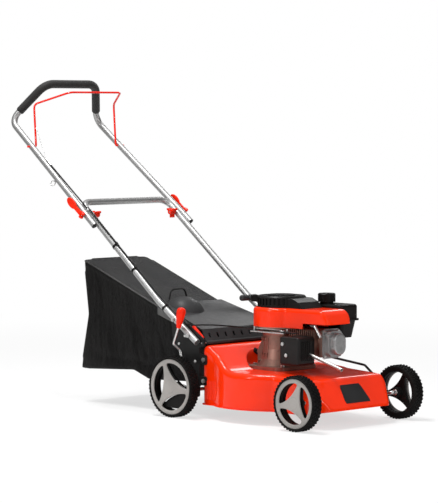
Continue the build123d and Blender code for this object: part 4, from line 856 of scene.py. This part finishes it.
# A thin black screen stands inside the slots of the recoil cover and keeps clippings out; it is a
# bent strip, open where the rope comes out.
SCREEN_IN, SCREEN_OUT, SCREEN_STEPS = 75.4, 76.2, 160
low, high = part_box("recoil_cover")
foot, top = 1000 * low[2] + 2, 1000 * high[2] - 12
section = ((SCREEN_IN, foot), (SCREEN_OUT, foot), (SCREEN_OUT, top), (SCREEN_IN, top))
screen = bmesh.new()
rings = []
for n in range(SCREEN_STEPS + 1):
    turn = math.radians(226 + 312 * n / SCREEN_STEPS)
    c, d = math.cos(turn), math.sin(turn)
    rings.append([screen.verts.new(at(ENGINE_X + r * c, r * d, z)) for r, z in section])
for here, there in zip(rings, rings[1:]):
    for k in range(4):
        screen.faces.new((here[k], there[k], there[(k + 1) % 4], here[(k + 1) % 4]))
screen.faces.new(rings[0])
screen.faces.new(rings[-1])
fit_piece("slot_screen", settle("slot_screen", screen), black_plastic, "mower", "black_plastic")


# The starter rope is braided nylon, wound on the drum and knotted in the handle, and runs out of
# the cover's outlet as the handle is pulled.
def bar_ends(name, axis):
    """The middles of a straight CAD bar's two ends, in the order of an axis, and its radius."""
    spots = sorted((vertex.co for vertex in nodes[name].data.vertices), key=lambda spot: spot[axis])
    half = len(spots) // 2
    first, last = (sum(group, Vector()) / half for group in (spots[:half], spots[half:]))
    return first, last, (spots[0] - first).length


CORD_STEPS = 40
knot, drum, radius = bar_ends("starter_rope", 0)
outlet = knot + (drum - knot).normalized() * 0.008
path = [drum] + [outlet.lerp(knot, n / CORD_STEPS) for n in range(CORD_STEPS + 1)]
rope = sleeve(path, lambda n, t: radius, sides=16)
rope_braid = moulded("rope_braid", (0.30, 0.30, 0.29), 0.7, 0.4, 0.0)
rope_piece = fit_piece("pull_rope", settle("pull_rope", rope), rope_braid, None, "rope", "starter_rope")
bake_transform(rope_piece)


# Both handles are welded steel tube, bent cold and sprayed in a slightly uneven satin silver. The
# levers and knobs that clamp the fold are red mouldings.
def silver_spray(name, colour):
    finish, tone = new_finish(name, Metallic=0.8)
    where = tone.place()
    broad = tone.cloud(where, 12.0, 3.0)
    feed(
        finish,
        Base_Color=broad.between(0.3, 0.7).blend(shade(colour, 0.92), shade(colour, 1.04)),
        Roughness=0.38 + 0.08 * broad,
        Normal=tone.bump(tone.cloud(where, 90.0, 2.0), 0.04, 0.0002),
    )
    return finish


dress(silver_spray("silver_spray", (0.37, 0.37, 0.368)), "lower_handle", "upper_handle")
dress(red_plastic, "cam_lever_right", "cam_lever_left", "cam_knobs")


# The stop bail is a bent rod dipped in red; its cable runs in a black sheath, held to the tube by
# moulded clips.
dress(enamel("bail_red", (0.78, 0.018, 0.008), 0.05, 0.0006), "bail_lever")
cable_sheath = moulded("cable_sheath", (0.007, 0.0068, 0.0068), 0.34, 0.08, 0.0004)
dress(cable_sheath, "control_cable_lower", "control_cable_upper")
dress(black_plastic, "cable_clips")
ferrule, leg, radius = bar_ends("bail_wire", 2)
path = [ferrule.lerp(leg, n / CORD_STEPS) for n in range(CORD_STEPS + 1)]
wire = sleeve(path, lambda n, t: radius, sides=12)
wire_piece = fit_piece("stop_wire", settle("stop_wire", wire), zinc_plate, None, "zinc", "bail_wire")
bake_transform(wire_piece)


# The grip is a closed-cell foam sleeve, pulled over the crossbar and both bends; it swells and
# narrows a little along its run, and its trimmed ends are rounded.
def rounded_path(points, radius, step):
    """Evenly spaced points along straight runs that are joined by arcs of one radius."""
    line = [points[0]]
    for before, corner, after in zip(points, points[1:], points[2:]):
        a, b = (before - corner).normalized(), (after - corner).normalized()
        half = a.angle(b) / 2
        cut = radius / math.tan(half)
        centre = corner + (a + b).normalized() * (radius / math.sin(half))
        start, end = corner + a * cut - centre, corner + b * cut - centre
        count = max(3, int(start.angle(end) * radius / step))
        line += [centre + start.slerp(end, n / count) * radius for n in range(count + 1)]
    line.append(points[-1])
    even = [line[0]]
    for a, b in zip(line, line[1:]):
        count = max(1, int((b - a).length / step))
        even += [a.lerp(b, (n + 1) / count) for n in range(count)]
    return even


FOAM_RADIUS, FOAM_BEND, FOAM_STEP = 14.7, 60.0, 4.0
bend, corner = at(-1168, 203, 974), at(-1079, 119.3, 1101.5)
run = [bend + (corner - bend).normalized() * 0.042, corner]
run += [Vector((p.x, -p.y, p.z)) for p in reversed(run)]
path = rounded_path(run, FOAM_BEND / 1000, FOAM_STEP / 1000)
last = len(path) - 1


def foam_radius(n, turn):
    end = min(n, last - n) * FOAM_STEP
    trim = 2.6 * max(0.0, 1 - end / 5.0) ** 2
    point = path[n]
    swell = 0.28 * noise.noise(Vector((point.x * 14, point.y * 14, turn * 0.6)))
    return (FOAM_RADIUS - trim + swell) / 1000


grip = sleeve(path, foam_radius, sides=40)
foam, tone = new_finish("grip_foam", Specular_IOR_Level=0.3, Sheen_Weight=0.15, Sheen_Roughness=0.5)
where = tone.place()
cells = tone.make("ShaderNodeTexVoronoi", Vector=where, Scale=900.0)
broad = tone.cloud(where, 25.0, 3.0)
feed(
    foam,
    Base_Color=broad.between(0.3, 0.7).blend((0.0065, 0.0062, 0.0060, 1.0), (0.012, 0.0115, 0.011, 1.0)),
    Roughness=0.60 + 0.15 * broad,
    Normal=tone.bump(cells, 0.35, 0.0005),
)
mesh = settle("foam_sleeve", grip, 50)
grip_piece = fit_piece("foam_sleeve", mesh, foam, "upper_handle", "foam", "foam_grip")


# The rear flap is a moulded dark grey cover on a steel rod, with a slotted apron and a hump over
# the bag's mouth; the bag's lid and rails under it are a paler grey.
dress(dark_plastic, "rear_flap")
dress(moulded("lid_plastic", (0.066, 0.066, 0.068), 0.42, 0.2, 0.0016), "bag_lid")

# A ribbed strip of lighter grey plastic is clipped along the outside of each rail of the lid.
# Five ribs run its whole length.
strip_plastic = moulded("strip_plastic", (0.11, 0.11, 0.109), 0.42, 0.15, 0.0008)
STRIP_RIBS, RIB_STEP, RIB_Y = 5, 0.0046, 0.1585
STRIP_Y, STRIP_HALF, STRIP_TALL = 0.1582, 0.0006, 0.0225
ahead, behind = at(-332, 0, 304.5), at(-470, 0, 347.5)
places = []
for side in (-1, 1):
    for n in range(STRIP_RIBS):
        middle = 0.5 * (ahead + behind) + DOWN * (0.002 + RIB_STEP * n) + Vector((0, RIB_Y * side, 0))
        places.append((middle, ahead - behind, Vector((0, side, 0))))
strips = bmesh.new()
run = (ahead - behind).length
add_bars(strips, places, length=run, radius=0.0017, flat=0.9, finish=strip_plastic)
for side in (-1, 1):
    corners = []
    for end, fall in ((ahead, 0.0), (behind, 0.0), (behind, STRIP_TALL), (ahead, STRIP_TALL)):
        faces = [STRIP_Y * side + shift for shift in (-STRIP_HALF, STRIP_HALF)]
        corners.append([strips.verts.new((end.x, y, end.z - fall)) for y in faces])
    for layer in (0, 1):
        strips.faces.new([corner[layer] for corner in corners])
    for one, two in zip(corners, corners[1:] + corners[:1]):
        strips.faces.new((one[0], two[0], two[1], one[1]))
fit_piece("rail_strips", settle("rail_strips", strips), strip_plastic, "bag", "grey_plastic")


# The latch tab at the flap's right end is a small red moulding, a bent tongue that widens towards
# its tip, clipped to the side plate.
tongue = rounded_path([at(-225, -191, 262), at(-250, -191, 281), at(-270, -191, 297)], 0.02, 0.002)
tab = sleeve(tongue, lambda n, t: 0.0042 + 0.0022 * abs(math.cos(t)) + 0.0012 * min(1.0, n / 12), sides=20)
fit_piece("latch_tab", settle("latch_tab", tab, 50), red_plastic, "mower", "red_plastic")


# The bag is black woven polyester, sewn from a long strip for roof, back and floor and two side
# panels. It hangs from the wire in its roof, so its walls sag inwards and crease upright.
ROOF = ((-870, -854, -474, -258, -240), (497, 497, 349.4, 269.2, 269.2))
FLOOR = ((-880, -870, -600, -524, -328, -240), (113, 113, 128, 101, 108, 120))
BACK = ((100, 113, 307, 497, 520), (-870, -870, -828, -854, -854))
MOUTH_X, BAG_LONG, BAG_HALF = -248, 606, 150
LONG, WIDE, TALL = 110, 46, 60


def bag_point(u, v, w):
    """A place on the bag before it sags, from its shares of the length, width and height."""
    x = MOUTH_X - BAG_LONG * u
    for turn in range(3):
        low, high = np.interp(x, *FLOOR), np.interp(x, *ROOF)
        z = low + (high - low) * w
        x = MOUTH_X + (np.interp(z, *BACK) - MOUTH_X) * u
    return x, BAG_HALF * (2 * v - 1), z


def bump_at(t):
    return math.sin(math.pi * min(1.0, max(0.0, t)))


sack = bmesh.new()
points = {}
for i in range(LONG + 1):
    for j in range(WIDE + 1):
        for k in range(TALL + 1):
            if i == LONG or j in (0, WIDE) or k in (0, TALL):
                points[i, j, k] = sack.verts.new(at(*bag_point(i / LONG, j / WIDE, k / TALL)))


def skin(*corners):
    if all(c in points for c in corners):
        sack.faces.new([points[c] for c in corners])


for i in range(LONG):
    for j in range(WIDE):
        for k in (0, TALL):
            skin((i, j, k), (i + 1, j, k), (i + 1, j + 1, k), (i, j + 1, k))
    for k in range(TALL):
        for j in (0, WIDE):
            skin((i, j, k), (i + 1, j, k), (i + 1, j, k + 1), (i, j, k + 1))
for j in range(WIDE):
    for k in range(TALL):
        skin((LONG, j, k), (LONG, j + 1, k), (LONG, j + 1, k + 1), (LONG, j, k + 1))
free = [vertex for (i, j, k), vertex in points.items() if i > 2]
NEAR = 7
corners = []
for (i, j, k), vertex in points.items():
    if LONG - i < NEAR and min(j, WIDE - j) < NEAR and min(k, TALL - k) < NEAR:
        corners.append(vertex)
axes = {"use_axis_x": True, "use_axis_y": True, "use_axis_z": True}
for group, times in ((free, 4), (corners, 9)):
    for turn in range(times):
        bmesh.ops.smooth_vert(sack, verts=group, factor=0.5, **axes)
bmesh.ops.recalc_face_normals(sack, faces=sack.faces)
middle = at(-550, 0, 250)
if sum((f.calc_center_median() - middle).dot(f.normal) for f in sack.faces) < 0:
    bmesh.ops.reverse_faces(sack, faces=sack.faces)
moves = []
for (i, j, k), vertex in points.items():
    u, v, w = i / LONG, j / WIDE, k / TALL
    p, n = vertex.co, vertex.normal
    held = min(1.0, i / 12)
    if j in (0, WIDE):
        edge = min(1.0, min(k, TALL - k) / 7) * min(1.0, (LONG - i) / 8)
        crease = noise.noise(Vector((p.x * 26, 3.7 * j, p.z * 4.2)))
        fine = noise.noise(Vector((p.x * 75 + 2 * p.z, 9.1 + j, p.z * 13)))
        ridge = 1 - abs(noise.noise(Vector((p.x * 16 + 3 * p.z, 5.5 + j, p.z * 3.4))))
        sag = -7.0 * bump_at(u) * bump_at(w) ** 0.7 + edge * (2.2 * crease + 1.3 * fine - 3.4 * ridge**6)
        fold = (w - 0.16 - 0.05 * math.sin(7 * u)) / 0.045
        sag -= 4.0 * math.exp(-(fold**2)) * bump_at(0.1 + 0.9 * u)
    elif i == LONG:
        edge = min(1.0, min(k, TALL - k) / 6) * min(1.0, min(j, WIDE - j) / 6)
        crease = noise.noise(Vector((2.2, p.y * 24, p.z * 5)))
        sag = -9.0 * bump_at(v) * bump_at(w) + edge * 1.8 * crease
    elif k == TALL:
        edge = min(1.0, min(j, WIDE - j) / 6)
        crease = noise.noise(Vector((p.x * 9 + 5 * p.y, p.y * 9, 7.7)))
        fine = noise.noise(Vector((p.x * 42, p.y * 42, 1.1)))
        loose = min(1.0, max(0.0, (u - 0.38) * 9))
        sag = -8.0 * bump_at((u - 0.45) / 0.55) * bump_at(v) + edge * (1.5 * crease + 0.5 * fine) * loose
    else:
        edge = min(1.0, min(j, WIDE - j) / 6)
        crease = noise.noise(Vector((p.x * 12, p.y * 12, 4.4)))
        sag = 2.0 * edge * crease - 1.0
    moves.append((vertex, n * (sag * held / 1000)))
for vertex, move in moves:
    vertex.co += move
sack.normal_update()
hem = [(i, 0, TALL) for i in range(3, LONG)] + [(LONG, j, TALL) for j in range(WIDE + 1)]
hem += [(i, WIDE, TALL) for i in range(LONG - 1, 2, -1)]
piping = [points[key].co + points[key].normal * 0.0006 for key in hem]
SEAM = 3
stitches = []
for panel in ("wall", "roof"):
    for one, two in zip(hem, hem[1:]):
        spots = []
        for i, j, k in (one, two):
            if panel == "wall":
                spots.append(points[i, j, k - SEAM])
            else:
                spots.append(points[min(i, LONG - SEAM), min(max(j, SEAM), WIDE - SEAM), k])
        run = spots[1].co - spots[0].co
        if run.length > 0.002:
            face = (spots[0].normal + spots[1].normal).normalized()
            stitches.append((0.5 * (spots[0].co + spots[1].co), run, face))
ticket = sack.loops.layers.uv.new("weave")
for face in sack.faces:
    n = face.normal
    for loop in face.loops:
        p = loop.vert.co
        if abs(n.y) > 0.6:
            loop[ticket].uv = (p.x, p.z)
        elif abs(n.x) > 0.75:
            loop[ticket].uv = (p.y, p.z)
        else:
            loop[ticket].uv = (p.x / max(0.4, abs(n.z)), p.y)
# How far each face points up: the bag's upward faces get a lighter colour from this, as painted light from
# above on the same black cloth.
panel = sack.faces.layers.float.new("roof")
for face in sack.faces:
    face[panel] = max(0.0, face.normal.z) ** 2
area = sum(f.calc_area() for f in sack.faces)
cloth, tone = new_finish("bag_cloth", Specular_IOR_Level=0.1, Sheen_Weight=0.02, Sheen_Roughness=0.4)
where = tone.make("ShaderNodeUVMap", {"uv_map": "weave"})
warp = tone.sum("SINE", where.along("X") * 5200.0)
weft = tone.sum("SINE", where.along("Y") * 5200.0)
over = tone.sum("SINE", (where.along("X") + where.along("Y")) * 2600.0)
weave = over.between(-0.3, 0.3) * warp + (1.0 - over.between(-0.3, 0.3)) * weft
broad = tone.cloud(tone.place(), 11.0, 4.0)
crush = tone.cloud(tone.stretched(tone.place(), (90.0, 40.0, 22.0)), 1.0, 5.0, 0.6)
stroke = tone.cloud(tone.stretched(tone.place(), (260.0, 120.0, 60.0)), 1.0, 3.0, 0.6).between(0.56, 0.66)
# Painted light: faces that point up are blended to a paler grey, though the cloth is black all over.
roof = tone.make("ShaderNodeAttribute", {"attribute_name": "roof"}, 2)
worn = broad.between(0.3, 0.75).blend((0.0028, 0.0024, 0.0022, 1.0), (0.0050, 0.0044, 0.0041, 1.0))
feed(
    cloth,
    Base_Color=roof.between(0.1, 0.7).blend(worn, (0.019, 0.019, 0.0195, 1.0)),
    Roughness=0.26 + 0.16 * broad,
    Normal=tone.bump(0.4 * crush + 0.5 * stroke + 0.03 * weave, 1.0, 0.004),
)
mesh = settle("bag_cloth", sack, 70)
bag = fit_piece("bag_cloth", mesh, cloth, "bag", "fabric", "bag_fabric")
wall = bag.modifiers.new("wall", "SOLIDIFY")
wall.thickness, wall.offset = 0.0012, -1.0
thick = plain_mesh(bag)
bag.modifiers.clear()
bag.data = thick

# The seam between roof and walls is bound with a round black piping, and two rows of grey thread
# run beside it.
binding = sleeve(piping, lambda n, t: 0.0026, sides=10)
piping_tape = moulded("piping_tape", (0.040, 0.039, 0.038), 0.40, 0.3, 0.0, 0.3)
fit_piece("bag_piping", settle("bag_piping", binding, 50), piping_tape, "bag", "fabric")
thread = moulded("seam_thread", (0.05, 0.05, 0.05), 0.6, 0.2, 0.0)
rows = bmesh.new()
add_bars(rows, stitches, length=0.0034, radius=0.0005, flat=1.0, finish=thread)
fit_piece("bag_stitches", settle("bag_stitches", rows), thread, "bag", "fabric")

# End: the box of the finished model is measured.
low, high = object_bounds()
